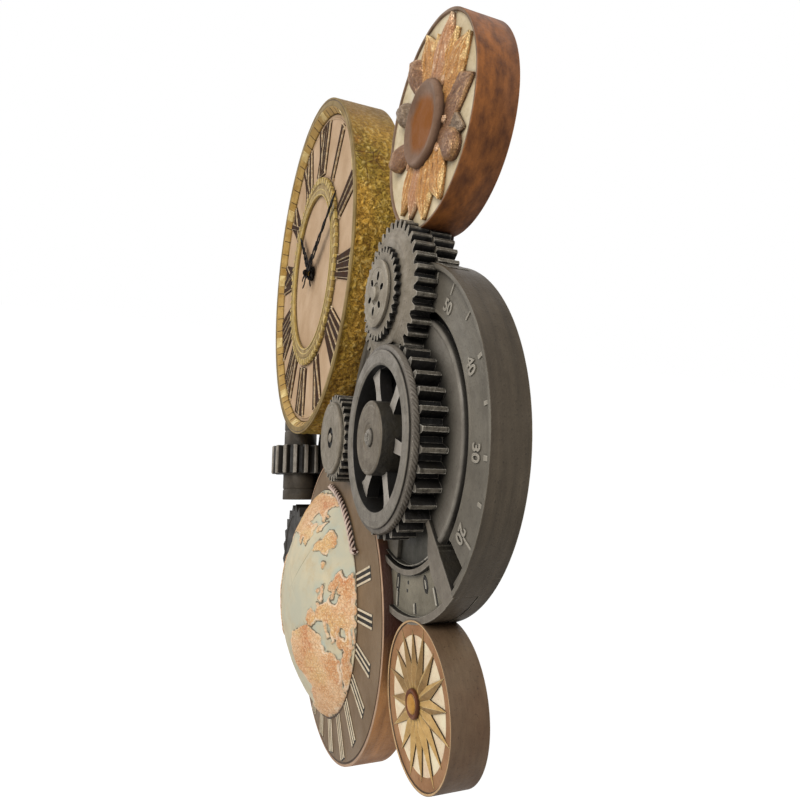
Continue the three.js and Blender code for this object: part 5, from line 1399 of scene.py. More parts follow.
# The faces of the cut take the pocket floor's darker paint: painted shade in the sunk steps.
combine(inner_disc, Form().add(sector(DIAL, 55.0, 74.4, 131.0, 214.0, SUNK_FLOOR, 21.0), 1))
build("inner_disc_step", Form(sector(DIAL, 54.0, 74.2, 177.0, 213.0, SUNK_FLOOR - 0.2, 17.9)),
      dial_pewter, bevel=0.5)

# %% Marks and numbers on the dial
mark_pale = painted("Mark pewter", "958d7f", "7f776a", "14110e", "d0c9ba", metal=0.15, patch=90.0, rub_highlight=1.0,
                    reach=2.5, shade_wash=1.0)
THIN_MARK = (96, 6.5, 0.5)
THICK_MARK = (97, 4, 1.1)
MARKS = [(40, THIN_MARK), (69, THICK_MARK), (84, (97, 4, 1.3)), (97, THICK_MARK), (110, (92, 10, 0.6)),
         (25, THIN_MARK), (55, THICK_MARK), (12, THIN_MARK)]
MARKS += [(bearing, THICK_MARK if i % 2 == 0 else THIN_MARK) for i, bearing in enumerate(
    [355, 340, 325, 310, 295, 280, 265, 250, 235, 220])]
marks = Form()
for bearing, (start, length, half) in MARKS:
    marks.add(bar(DIAL, bearing, start, start + length, half, NUMBER_FACE - 0.2, NUMBER_FACE + 0.7))
build("dial_marks", marks, mark_pale, bevel=0.25)


# %% Raised numbers
def number(text, bearing, radius, size, height, rise):
    """A raised number with its top outwards."""
    turn = math.radians(bearing)
    curve = bpy.data.curves.new("number_" + text, "FONT")
    curve.body = text
    curve.align_x = "CENTER"
    curve.align_y = "CENTER"
    curve.size = size * MM
    curve.extrude = rise * MM
    curve.bevel_depth = 0.18 * MM
    curve.offset = 0.04 * MM
    curve.materials.append(mark_pale)
    piece = bpy.data.objects.new("dial_number_" + text, curve)
    scene.collection.objects.link(piece)
    right = Vector((math.cos(turn), 0, -math.sin(turn)))
    up = Vector((math.sin(turn), 0, math.cos(turn)))
    axes = Matrix((right, up, right.cross(up))).transposed().to_4x4()
    piece.matrix_world = Matrix.Translation(at(DIAL, bearing, radius, height) * MM) @ axes
    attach(piece, "clock")


NUMBERS = [("50", 25.7), ("40", 55), ("30", 83), ("20", 110.4), ("60", 356), ("10", 326)]
for text, bearing in NUMBERS:
    number(text, bearing, 89.0, 10.0, NUMBER_FACE + 0.1, 0.5)
print("marks and numbers on the dial:", len(MARKS), "and", len(NUMBERS))

# %% [markdown]
# The stack of gears on the dial: a wide gear, a collar knurled like rope, a wheel with six spokes
# and a hub with a bolt. Teeth are deep and stand in their own shadow, so the gear's flanks take a
# darker paint than the faces as painted shade, and the bevel on each edge gives the bright line of
# rubbed wear and painted highlight.

# %% The large gear and its collar
def build_gear(node_name, shape, face_look, centre, tip, bevel):
    """A gear with a metal face, painted shade on the flanks and in the gaps, and tips in a lighter
    painted half shade with worn, highlighted edges, in the place of its CAD node.
    """
    looks = [face_look, tooth_flank_shade, half_shaded_tooth_tip]
    build(node_name + "_cast", Form(shape), looks, nodes=[node_name], bevel=bevel,
          choose=gear_looks(centre, tip))


ON_DIAL = NUMBER_FACE + GAP
LARGE_TIP = 60.0
LARGE_FRONT = 34.5
LARGE_TEETH = 34
large = outside(DIAL, teeth(LARGE_TEETH, LARGE_TIP, 52.6, 0.26, 0.36), UPPER, 47.0)
large = gear(DIAL, large, ON_DIAL, LARGE_FRONT, [(50.5, LARGE_FRONT), (47.0, LARGE_FRONT)], 46.99)
build_gear("large_gear", large, wheel_pewter, DIAL, LARGE_TIP, 0.6)
print("teeth on the large gear:", LARGE_TEETH)


def knurled(centre, inner, outer_radius, back, front, ridges, depth, twist):
    """A ring whose outside is cut in slanting ridges, like rope."""
    steps = ridges * 8
    rows = 9
    loops = []
    for i in range(steps):
        bearing = i * 360 / steps
        loop = []
        for k in range(rows + 1):
            t = k / rows
            swell = math.sin(t * math.pi) ** 0.6
            wave = 0.5 + 0.5 * math.cos(math.radians(bearing * ridges + t * twist))
            radius = outer_radius - 1.0 * (1 - swell) - depth * (1 - wave ** 0.7) * swell
            loop.append(at(centre, bearing, radius, back + (front - back) * t))
        loop.append(at(centre, bearing, outer_radius - 3.2, front + 0.1))
        loop.append(at(centre, bearing, inner, front))
        loop.append(at(centre, bearing, inner, back))
        loops.append(loop)
    return skin(loops, around=True, closed=True)


collar_pewter = painted("Collar pewter", "6b6358", "544d44", "14110e", "c9c0b0", metal=0.15, patch=90.0,
                        reach=1.6, shade_wash=1.0, rub_highlight=1.0, rub_highlight_width=0.4)
build("collar_cast", Form(knurled(DIAL, 47.0, 57.0, 34.3, 38.3, 120, 0.9, 620)), collar_pewter,
      nodes=["knurled_collar"], crease=60)

# %% The spoked wheel, its hub and the bolt
WHEEL_R = 53.4
WHEEL_IN = 44.0
rim = rounded([(WHEEL_IN, ON_DIAL), (46.7, ON_DIAL), (46.7, 38.0), (WHEEL_R, 38.0), (WHEEL_R, 39.4),
               (WHEEL_R - 0.7, 40.0), (WHEEL_IN + 1.4, 40.0), (WHEEL_IN, 39.0)], 0.35)
wheel = Form(turned(DIAL, rim, 200))
SPOKES = 6
flare = [(-4.2, 21.8), (-3.7, 32), (-4.6, 39), (-7.6, 44.6)]
flare += [(-across, radius) for across, radius in reversed(flare)]
for i in range(SPOKES):
    bearing = 30 + i * 360 / SPOKES
    wheel.add(prism([place(DIAL, bearing, radius, across) for across, radius in flare], 27.0, 34.8))


def wheel_looks(point, normal):
    """Pewter on the rim's face, pale fronts on the spokes, painted shadow black inside the openings
    and painted shade on the sides of the rim.
    """
    away = distance(point, DIAL)
    if normal.y < -0.6:
        return 0 if away > WHEEL_IN - 0.5 else 1
    return 2 if away < WHEEL_IN + 1 else 3


build("spoked_wheel_cast", wheel, [wheel_pewter, spoke_pale, shadow_black, shaded_pewter_side],
      nodes=["spoked_wheel"], bevel=0.35, choose=wheel_looks)

HUB_R = 22.4
HUB_FACE = 43.5
hub = rounded([(0, ON_DIAL), (HUB_R, ON_DIAL), (HUB_R, 42.7), (HUB_R - 0.8, HUB_FACE),
               (HUB_R - 2.0, HUB_FACE), (HUB_R - 2.3, HUB_FACE - 0.3), (HUB_R - 2.8, HUB_FACE - 0.3),
               (HUB_R - 3.1, HUB_FACE), (9.2, HUB_FACE - 0.1), (8.6, HUB_FACE - 0.7),
               (5.6, HUB_FACE - 1.2), (5.6, HUB_FACE - 3), (0, HUB_FACE - 3)], 0.25, closed=False)
build("wheel_hub_cast", Form(turned(DIAL, hub, 140)), [hub_pewter, shaded_pewter_side],
      nodes=["wheel_hub"], choose=faces_front)
hexagon = [place(DIAL, 60 * k + 12, 2.9) for k in range(6)]
washer = rounded([(0, 40.6), (5.2, 40.6), (5.2, 43.3), (4.4, 44.1), (0, 44.1)], 0.4, 2, closed=False)
bolt = Form(turned(DIAL, washer, 48))
bolt.add(prism(hexagon, 43.8, 45.1))
bolt.add(bar(DIAL, 30, -2.2, 2.2, 0.5, 44.9, 45.35))
build("hub_bolt_cast", bolt, wheel_pewter, nodes=["hub_bolt"], bevel=0.2)
print("spokes:", SPOKES)

# %% [markdown]
# Above it stands a second stack: two wide gears, one near the wall and one before it with a sloping
# face, a smaller gear and a slotted cap. Beside the spoked wheel is a small gear with its own cap.
# They use the same outline function with their own sizes.

# %% The upper gears
UPPER_TEETH = 36
UPPER_TIP = 46.7
UPPER_ROOT = 41.6
UPPER_LOW_FRONT = 18.7
UPPER_SLOPE = [(40.6, 32.1), (36.0, 34.2), (34.8, 34.6), (20, 34.6)]
base_teeth = teeth(UPPER_TEETH, UPPER_TIP, UPPER_ROOT, phase=3.0)
upper_low = outside(UPPER, outside(UPPER, base_teeth, DIAL, DIAL_R + GAP), ROSETTE, ROSETTE_R)
upper_low = gear(UPPER, upper_low, BASE, UPPER_LOW_FRONT, [(30, UPPER_LOW_FRONT)])
build_gear("upper_gear_base", upper_low, pewter, UPPER, UPPER_TIP, 0.45)
upper_teeth = outside(UPPER, teeth(UPPER_TEETH, UPPER_TIP, UPPER_ROOT), DIAL, 52.6)
clear = outside(UPPER, [(b, 200.0) for b, _ in upper_teeth], DIAL, 57.3)
loops = [[at(UPPER, b, r, h) for b, r in upper_teeth] for h in (ON_DIAL, 32.0)]
for radius, height in UPPER_SLOPE:
    reaches = [min(radius, limit - 0.2) for _, limit in clear]
    loops.append([at(UPPER, b, r, height) for (b, _), r in zip(upper_teeth, reaches)])
upper = skin(loops, around=False, capped=True)
build_gear("upper_gear", upper, pewter, UPPER, UPPER_TIP, 0.45)

TOP_TEETH = 32
TOP_BACK = 34.9
TOP_FRONT = 38.1
top = gear(UPPER, teeth(TOP_TEETH, 29.5, 25.8, 0.24, 0.3), TOP_BACK, TOP_FRONT,
           [(24.4, TOP_FRONT), (15, TOP_FRONT)])
build("top_gear_cast", Form(top), [pewter, tooth_flank_shade], nodes=["top_gear"], bevel=0.3,
      choose=faces_front)
print("teeth on the upper gears:", UPPER_TEETH, "and", TOP_TEETH)

# %% The slotted cap
CAP_BACK = 38.4
CAP_FRONT = 40.4
cap_section = rounded([(0, CAP_BACK), (21, CAP_BACK), (21, CAP_FRONT), (16.6, CAP_FRONT),
                       (16.2, CAP_FRONT - 0.3), (15.4, CAP_FRONT - 0.3), (15, CAP_FRONT),
                       (7.0, CAP_FRONT), (6.6, CAP_FRONT - 0.9), (5.0, CAP_FRONT - 0.9),
                       (4.6, CAP_FRONT), (4.3, 42.0), (2.0, 42.4), (0, 42.4)], 0.25, closed=False)
cap_pewter = turned_pewter("Cap pewter", UPPER, "938875", "7f7463")
cap = build("top_gear_cap_cast", Form(turned(UPPER, cap_section, 96)), [cap_pewter, shade_and_mark_black],
            nodes=["top_gear_cap"])
# The cap's slots take the near black: painted shade.
slots = Form()
SLOTS = 6
for i in range(SLOTS):
    bearing = i * 360 / SLOTS + 8
    oval = [place(UPPER, bearing, 11 + 2.9 * math.cos(t), 2.0 * math.sin(t)) for t in angles(20)]
    slots.add(prism(oval, CAP_BACK + 0.2, 44), 1)
combine(cap, slots)
print("slots in the cap:", SLOTS)

# %% The small gear and its cap
SMALL_TEETH = 30
SMALL_TIP = 32.2
SMALL_FRONT = 39.5
small = gear(SMALL, teeth(SMALL_TEETH, SMALL_TIP, 28.4, 0.26, 0.32), BASE, SMALL_FRONT,
             [(27, SMALL_FRONT), (15, SMALL_FRONT)])
build_gear("small_gear", small, small_pewter, SMALL, SMALL_TIP, 0.35)
cap_section = rounded([(0, 39.8), (26.6, 39.8), (26.6, 41.6), (26.0, 42.2), (24.6, 42.2), (24.2, 41.9),
                       (23.6, 41.9), (23.2, 42.2), (8.2, 42.2), (7.5, 41.6), (7.5, 40.3), (3.5, 40.3),
                       (3.5, 42.0), (2.6, 42.6), (0, 42.6)], 0.25, closed=False)
# The recess round the small cap's middle takes the near black: painted shade.
build("small_gear_cap_cast", Form(turned(SMALL, cap_section, 110)), [small_pewter, shade_and_mark_black],
      nodes=["small_gear_cap"],
      choose=lambda point, normal: 1 if 3.4 < distance(point, SMALL) < 7.7 and -point.y < 41.7 else 0)
print("teeth on the small gear:", SMALL_TEETH)

# %% [markdown]
# The pinion lies along the wall under the main drum, leaning a little. It is modelled along its own
# axis and then laid in place: a toothed band between two plain drums, flat where it meets the wall.
# The rear gear peeps out behind the globe with short pointed teeth.

# %% The pinion and the rear gear
LEAN = math.radians(16.9)
AXIS_HEIGHT = 22.0
along_axis = Vector((-math.sin(LEAN), 0, math.cos(LEAN)))
across_axis = Vector((math.cos(LEAN), 0, math.sin(LEAN)))


def on_pinion(turn, radius, along):
    """A point of the pinion, from a turn about its axis in degrees."""
    angle = math.radians(turn)
    point = Vector((PINION[0], -AXIS_HEIGHT, PINION[1])) + along_axis * along
    point += across_axis * (radius * math.sin(angle)) + Vector((0, radius * math.cos(angle), 0))
    point.y = min(point.y, -BASE)
    return point


PINION_TEETH = 16
CORE_R = 16.6
band = teeth(PINION_TEETH, 29.0, 23.2, 0.28, 0.34)
core = [(t, CORE_R) for t, _ in band]
eased_band = [(t, r - 0.9) for t, r in band]
rings = [(core, -14), (eased_band, -14), (band, -13.2), (band, 13.2), (eased_band, 14), (core, 14)]
drum_line = [(0, -40), (16.5, -40), (16.5, -31), (15.9, -30.4), (15.9, -29.2), (16.5, -28.6)]
drum_line = rounded(drum_line + [(r, -s) for r, s in reversed(drum_line)], 0.5, 2, closed=False)
roller = Form(skin([[on_pinion(t, r, s) for t, r in ring] for ring, s in rings], around=False, capped=True))
drums = [[on_pinion(t, r, s) for t in range(0, 360, 5)] for r, s in drum_line if r > 0.01]
roller.add(skin(drums, around=False, capped=True))

# %% Looks of the pinion
tooth_pale = painted("Pinion teeth", "8c8478", "756d62", "14110e", "d0c9bd", metal=0.15, patch=130.0,
                     reach=7.0, shade_wash=1.0, rub_highlight=1.0)
pinion_gap_shade = painted("Pinion gaps, painted shade", "221e19", "191612", "070605", "4c463d", metal=0.0, patch=90.0)


def pinion_looks(point, normal):
    """Dark drums, pale tooth tops and near black painted shade between the teeth."""
    spot = Vector((point.x - PINION[0], 0, point.z - PINION[1]))
    along = spot.dot(along_axis)
    out = math.hypot(spot.dot(across_axis), -point.y - AXIS_HEIGHT)
    if abs(along) > 14.2 or out < 17:
        return 0
    return 1 if out > 27.6 else 2


build("pinion_cast", roller, [dark_cast, tooth_pale, pinion_gap_shade], nodes=["pinion_roller"],
      bevel=0.4, choose=pinion_looks)
REAR_TEETH = 22
rear = outside(REAR, teeth(REAR_TEETH, 55.0, 48.0, 0.06, 0.24, 4.0), GLOBE, GLOBE_R + GAP)
build("rear_gear_cast", Form(gear(REAR, rear, BASE, 24.0, [(44, 24.0), (43, 23.0), (40, 23.0)])), rear_dark,
      nodes=["rear_gear"], bevel=0.4)
print("teeth on the pinion and the rear gear:", PINION_TEETH, "and", REAR_TEETH)

# %% [markdown]
# The globe is a low dome on a broad ring. Its land is a real step in the mesh. The coasts are short
# lists of latitude and longitude, listed for this model and turned into the plane of the dome by the
# orthographic projection. For each point of the dome we measure the distance to the nearest coast:
# that distance raises the land and also tells the material where to put the coloured shores.

# %% Coasts of the globe, in degrees of latitude and longitude
LANDS = [
    [(71, -156), (70, -141), (69, -135), (70, -128), (68, -115), (68, -108), (67, -100), (69, -95),
     (72, -95), (71, -90), (68, -88), (69, -83), (67, -82), (66, -86), (63, -91), (59, -94), (57, -92),
     (55, -85), (55, -82), (52, -80), (51, -79), (54, -79), (57, -77), (60, -78), (62, -78), (62, -73),
     (60, -70), (58, -68), (60, -65), (57, -62), (54, -58), (52, -56), (50, -60), (50, -65), (47, -65),
     (46, -61), (44, -65), (44, -69), (42, -70), (41, -73), (38, -75), (35, -76), (32, -80), (28, -81),
     (25, -81), (28, -83), (30, -84), (30, -89), (29, -95), (26, -97), (22, -98), (19, -96), (18, -93),
     (21, -90), (21, -87), (16, -89), (15, -84), (10, -84), (9, -80), (8, -78), (7, -81), (10, -86),
     (14, -92), (16, -96), (19, -105), (23, -107), (28, -111), (31, -114), (28, -113), (23, -110),
     (27, -114), (32, -117), (35, -121), (40, -124), (48, -125), (54, -131), (59, -139), (61, -148)],
    [(73, -85), (71, -78), (67, -66), (64, -65), (62, -68), (65, -74), (69, -80)],
    [(12, -72), (11, -64), (8, -60), (5, -52), (0, -50), (-3, -40), (-6, -35), (-12, -38), (-20, -40),
     (-25, -48), (-30, -50), (-35, -56), (-40, -62), (-47, -66), (-54, -70), (-45, -75), (-35, -73),
     (-20, -70), (-14, -76), (-5, -81), (2, -79), (8, -77)],
    [(60, -44), (61, -49), (65, -53), (69, -51), (72, -56), (76, -68), (79, -67), (81, -62), (83, -40),
     (83, -30), (81, -18), (77, -19), (73, -22), (70, -23), (68, -30), (65, -40)],
    [(65.5, -24), (66.5, -20), (66, -15), (64, -15), (63.5, -19), (64, -22)],
    [(58.5, -5), (57.5, -2), (54, -0.5), (52.7, 1.5), (51, 1), (50.5, -4), (51.7, -5), (53.3, -4),
     (55, -5), (56, -6)],
    [(55.3, -7), (54, -6), (52.3, -6.5), (51.7, -10), (54, -10)],
    [(71, 26), (69, 16), (64, 10), (62, 5), (58.5, 6), (59, 10.5), (55.5, 13), (57, 16.5), (60.5, 17.5),
     (63, 20), (65.5, 22.5), (65, 25), (62, 21.5), (60, 23), (60, 29), (57.5, 24.5), (55, 21), (54, 14),
     (55, 10), (57.5, 10), (56, 8), (53.5, 8), (52, 4), (50, 1.5), (49, -1), (48.5, -5), (46, -1.5),
     (43.5, -2), (43.5, -9), (37, -9), (36, -5.5), (37, -1), (41, 1), (43, 4), (44, 9), (42, 12),
     (39, 16), (38, 16), (40, 18.5), (41.5, 16), (44, 12.5), (45.5, 13.5), (42, 19), (37, 22), (38, 24),
     (40.5, 23), (40.5, 27), (37, 28), (36.5, 36), (31.5, 34.5), (28, 34.5), (20, 40), (13, 43.5),
     (13, 48), (17, 56), (22, 60), (26, 57), (30, 48), (38, 60), (50, 62), (60, 68), (68, 68), (68, 55),
     (67, 42), (69, 33)],
    [(35, -6), (37, 10), (34, 11), (31, 16), (33, 22), (31, 30), (31, 32.5), (28, 33.5), (22, 37),
     (15, 40), (11, 43.5), (12, 51), (2, 46), (-5, 39.5), (-15, 40.5), (-20, 35), (-26, 33), (-34, 26),
     (-34.5, 19), (-28, 16), (-17, 12), (-8, 13), (-1, 9), (4, 9), (6, 2), (5, -5), (5, -8), (9, -13.5),
     (15, -17), (21, -17), (28, -12.5), (33, -8.5)],
]
LAKES = [
    [(46, 30), (45, 36), (43, 41), (41, 38), (41.5, 29), (43.5, 28)],
    [(47, 50), (44, 47), (40, 50), (37, 50), (37, 54), (42, 52.5), (45, 53.5)],
]
MIDDLE_LAT = math.radians(20.0)
MIDDLE_LON = math.radians(-38.0)
TILT = math.radians(-32.5)
MAP_SCALE = 88.0
SOUTH_STRETCH = 1.6


def on_map(latitude, longitude):
    """Where a place of the globe falls in the dome's plane, in mm from its middle."""
    if latitude < 0:
        latitude *= SOUTH_STRETCH
    la = math.radians(max(latitude, -80))
    lo = math.radians(longitude) - MIDDLE_LON
    x = math.cos(la) * math.sin(lo)
    y = math.cos(MIDDLE_LAT) * math.sin(la) - math.sin(MIDDLE_LAT) * math.cos(la) * math.cos(lo)
    near = math.sin(MIDDLE_LAT) * math.sin(la) + math.cos(MIDDLE_LAT) * math.cos(la) * math.cos(lo)
    if near < 0:
        reach = math.hypot(x, y)
        x, y = x / reach * (1 - near * 0.3), y / reach * (1 - near * 0.3)
    return (MAP_SCALE * (x * math.cos(TILT) - y * math.sin(TILT)),
            MAP_SCALE * (x * math.sin(TILT) + y * math.cos(TILT)))


def coast_distance(points, outline):
    """Distance to an outline in mm for many points at once: positive inside it."""
    corners = np.array([on_map(*spot) for spot in outline])
    inside = np.zeros(len(points), bool)
    nearest = np.full(len(points), 1e9)
    for a, b in zip(corners, np.roll(corners, -1, axis=0)):
        crosses = (a[1] > points[:, 1]) != (b[1] > points[:, 1])
        slope = (b[0] - a[0]) / (b[1] - a[1] + 1e-12)
        inside ^= crosses & (points[:, 0] < slope * (points[:, 1] - a[1]) + a[0])
        line = b - a
        share = np.clip(((points - a) @ line) / (line @ line + 1e-12), 0, 1)
        nearest = np.minimum(nearest, np.hypot(*(points - a - share[:, None] * line).T))
    return np.where(inside, nearest, -nearest)


# %% The dome with its raised land
DOME_EDGE = 25.7
DOME_RISE = 32.0
DOME_RINGS = 130
DOME_SPOKES = 420
sphere = (DOME_R ** 2 + DOME_RISE ** 2) / (2 * DOME_RISE)
reaches = [DOME_R * k / DOME_RINGS for k in range(1, DOME_RINGS + 1)]
turns = [2 * math.pi * i / DOME_SPOKES for i in range(DOME_SPOKES)]
plan = np.array([(reach * math.sin(turn), reach * math.cos(turn)) for reach in reaches for turn in turns])


def ragged_by(x, z, seed):
    """How far a place is moved, in mm, to make a listed coast ragged."""
    coarse = noise.noise(Vector((x / 4.2, z / 4.2, seed)))
    fine = noise.noise(Vector((x / 1.6, z / 1.6, seed + 4.0)))
    return coarse * 1.5 + fine * 0.6


ragged = np.array([(ragged_by(x, z, 1.0), ragged_by(x, z, 9.0)) for x, z in plan])
looked_up = plan + ragged
shore = np.full(len(plan), -1e9)
for outline in LANDS:
    shore = np.maximum(shore, coast_distance(looked_up, outline))
for outline in LAKES:
    shore = np.minimum(shore, -coast_distance(looked_up, outline))
print("land covers", round(100 * float((shore > 0).mean())), "% of the dome")

LAND_RISE = 1.3
points = []
for (x, z), inland in zip(plan, shore):
    reach = math.hypot(x, z)
    height = DOME_EDGE + DOME_RISE - (sphere - math.sqrt(sphere * sphere - reach * reach))
    bank = ease(inland, -0.3, 0.5) * LAND_RISE
    crumble = 0.4 * ease(inland, 0.2, 1.6) * noise.noise(Vector((x / 1.8, z / 1.8, 21.0)))
    swell = 0.25 * noise.noise(Vector((x / 9, z / 9, 30.0)))
    rim_fade = ease(DOME_R - reach, 0.0, 2.0)
    points.append(Vector((DOME[0] + x, -(height + (bank + crumble + swell) * rim_fade), DOME[1] + z)))
top_point = len(points)
points.append(Vector((DOME[0], -(DOME_EDGE + DOME_RISE), DOME[1])))
faces = [(top_point, (i + 1) % DOME_SPOKES, i) for i in range(DOME_SPOKES)]
for k in range(DOME_RINGS - 1):
    for i in range(DOME_SPOKES):
        n = (i + 1) % DOME_SPOKES
        a = k * DOME_SPOKES
        b = a + DOME_SPOKES
        faces.append((a + i, a + n, b + n, b + i))
foot = len(points)
points += [Vector((p.x, -24.9, p.z)) for p in points[top_point - DOME_SPOKES:top_point]]
for i in range(DOME_SPOKES):
    n = (i + 1) % DOME_SPOKES
    faces.append((top_point - DOME_SPOKES + i, top_point - DOME_SPOKES + n, foot + n, foot + i))
faces.append(tuple(range(foot, foot + DOME_SPOKES)))

# %% Paint for the dome: sea, shores and land
def globe_paint():
    look, tree, shader = new_look("Globe paint")
    where = object_place(tree)
    inland = point_value(tree, "inland")
    tone = placed(tree, patchy, patch_scale=26.0, grain_scale=520.0)
    mottled = patches(tree, where, 60.0, 5.0, 0.7, 0.50, 0.66)
    streaky = patches(tree, where, 70.0, 4.0, 0.65, 0.42, 0.62)
    near_shore = times(tree, spread(tree, inland, 0.26, 0.47), streaky)
    broken_up = patches(tree, where, 20.0, 2.0, 0.5, 0.48, 0.56)
    long_line = times(tree, seams(tree, where, 15.0, 0.007, 0.002), broken_up)
    sea = mixed(tree, tone["Tone"], paint("ccbd9b"), paint("b5b19b"))
    sea = coats(tree, sea, (mottled, 0.5, "b9a27c"), (near_shore, 0.75, "a4b1a6"),
                (long_line, 0.7, "6f6b55"))
    blotches = patches(tree, where, 45.0, 5.0, 0.65, 0.40, 0.60)
    yellow = patches(tree, where, 30.0, 3.0, 0.6, 0.50, 0.62)
    rusty = patches(tree, where, 75.0, 3.0, 0.6, 0.56, 0.68)
    pale = patches(tree, where, 820.0, 3.0, 0.7, 0.50, 0.62)
    red = patches(tree, where, 640.0, 3.0, 0.7, 0.55, 0.66)
    cracks = seams(tree, where, 340.0, 0.09, 0.02)
    ground = mixed(tree, blotches, paint("e2b88c"), paint("cf9460"))
    ground = coats(tree, ground, (yellow, 0.6, "dcb878"), (rusty, 0.6, "c06c3a"), (pale, 0.7, "f0dab2"),
                   (red, 0.6, "b0714a"), (cracks, 0.35, "8a5630"))
    is_land = spread(tree, inland, 0.490, 0.506)
    colour = mixed(tree, is_land, sea, ground)
    lit_bank = times(tree, spread(tree, inland, 0.50, 0.515), spread(tree, inland, 0.56, 0.535))
    colour = coats(tree, colour, (times(tree, lit_bank, streaky), 0.8, "f0dcc0"))
    # A dark line along the sea side of each coast: painted shadow under the raised land.
    line = times(tree, spread(tree, inland, 0.455, 0.478), spread(tree, inland, 0.500, 0.486))
    skips = patches(tree, where, 110.0, 3.0, 0.6, 0.38, 0.52)
    colour = mixed(tree, times(tree, line, skips), colour, paint("5b4c38"))
    # The corner wash adds painted shade in the hollows.
    corner = placed(tree, wash_and_shade, reach=0.005, amount=0.6)["Mask"]
    colour = mixed(tree, corner, colour, paint("4a3a2a"))
    height = sums(tree, "ADD", tone["Height"], times(tree, pale, 0.6))
    height = sums(tree, "ADD", height, times(tree, cracks, -0.6))
    height = times(tree, height, sums(tree, "ADD", is_land, 0.2))
    finish_look(tree, shader, colour, spread(tree, tone["Tone"], 0.0, 1.0, 0.5, 0.7), metal=0.0,
                shine=0.25, height=height, bump=0.45, depth=0.0007)
    return look


dome_form = Form((points, faces))
dome = build("globe_dome_cast", dome_form, globe_paint(), nodes=["globe_dome"], crease=70)
known = {}
for p, value in zip(points[:top_point], np.clip(0.5 + shore / 24.0, 0, 1)):
    known[(round(p.x, 2), round(p.z, 2))] = float(value)
keep_values(dome, "inland", [known.get((round(v.co.x / MM, 2), round(v.co.z / MM, 2)), 0.5)
                             for v in dome.data.vertices])
print("dome:", len(dome.data.vertices), "points")

# %% The globe's ring and its bars
RING_TOP = 24.8
LINE_FLOOR = 24.4
ring_profile = skirted(GLOBE_R, rounded(
    [(GLOBE_R, BASE), (GLOBE_R, RING_TOP), (GLOBE_R - 1.6, RING_TOP), (GLOBE_R - 2.0, LINE_FLOOR),
     (GLOBE_R - 2.5, LINE_FLOOR), (GLOBE_R - 2.9, RING_TOP), (0, RING_TOP)], 0.5, closed=False))


def ring_looks(point, normal):
    """1 for the side, 2 for the edge, 3 for the fine groove beside it, which takes painted shade, and
    0 for the face.
    """
    away = distance(point, GLOBE)
    if away > GLOBE_R - 0.3 and -point.y < LINE_FLOOR:
        return 1
    if away > GLOBE_R - 1.5:
        return 2
    return 3 if GLOBE_R - 3.0 < away < GLOBE_R - 1.8 else 0


ring_edge = painted("Globe ring edge", "b08e70", "96765c", "33241a", "e4c6a8", metal=0.0, patch=90.0,
                    rub_highlight=1.0)
build("globe_ring_cast", Form(turned(GLOBE, ring_profile, 240)),
      [ring_taupe, ring_side, ring_edge, dark_line_and_shade], nodes=["globe_ring"], choose=ring_looks)
lip_line = rounded([(DOME_R - 0.4, 24.7), (DOME_R + 0.9, 24.7), (DOME_R + 0.9, 25.1),
                    (DOME_R - 0.2, 25.5)], 0.1)
build("dome_lip", Form(turned(DOME, lip_line, 240)), dark_line_and_shade)


# %% Groups of bars on the globe's ring
def ring_reach(bearing):
    """How far the globe's ring reaches from the dome's middle on a bearing."""
    turn = math.radians(bearing)
    ray = Vector((math.sin(turn), math.cos(turn)))
    offset = Vector(DOME) - Vector(GLOBE)
    b = ray.dot(offset)
    return -b + math.sqrt(b * b - offset.length_squared + GLOBE_R ** 2)


def shifted_bar(centre, bearing, middle, half, inner, outer_radius, back, front):
    """A bar along a bearing whose middle line is moved across to the clockwise side."""
    corners = [place(centre, bearing, r, middle + side * half)
               for r, side in ((inner, -1), (outer_radius, -1), (outer_radius, 1), (inner, 1))]
    return prism(corners, back, front)


# Each group of bars stands on a near black bed: painted shade between the bars.
bars = Form()
recesses = Form()
groups = 0
for bearing in range(58, 206, 15):
    reach = min(117.0, ring_reach(bearing) - 5.0)
    if reach < 94:
        continue
    groups += 1
    recesses.add(shifted_bar(DOME, bearing, 0.0, 4.7, 87.6, reach + 0.7, 24.7, 24.95))
    for middle in (-3.9, 0.0, 3.9):
        bars.add(shifted_bar(DOME, bearing, middle, 0.75, 88.2, reach, 24.75, 25.5))
build("ring_bars", bars, pale_bar, bevel=0.3)
build("ring_bar_shade_beds", recesses, shade_and_mark_black)
print("groups of bars:", groups)

# %% [markdown]
# A rope runs round the top of the dome and ends in a small hook. Three strands wind round a dark
# core: each is a tube whose centre circles the core as it goes along, so the twist is real geometry.

# %% The rope trim
def tube(path, radius, sides=10, ends=True):
    """A round tube along a list of points."""
    loops = []
    side = None
    for i, here in enumerate(path):
        ahead = (path[min(i + 1, len(path) - 1)] - path[max(i - 1, 0)]).normalized()
        if side is None:
            side = ahead.orthogonal().normalized()
        side = (side - ahead * side.dot(ahead)).normalized()
        up = ahead.cross(side)
        turns = [2 * math.pi * k / sides for k in range(sides)]
        loops.append([here + side * (radius * math.cos(t)) + up * (radius * math.sin(t)) for t in turns])
    return skin(loops, around=False, closed=True, capped=ends)


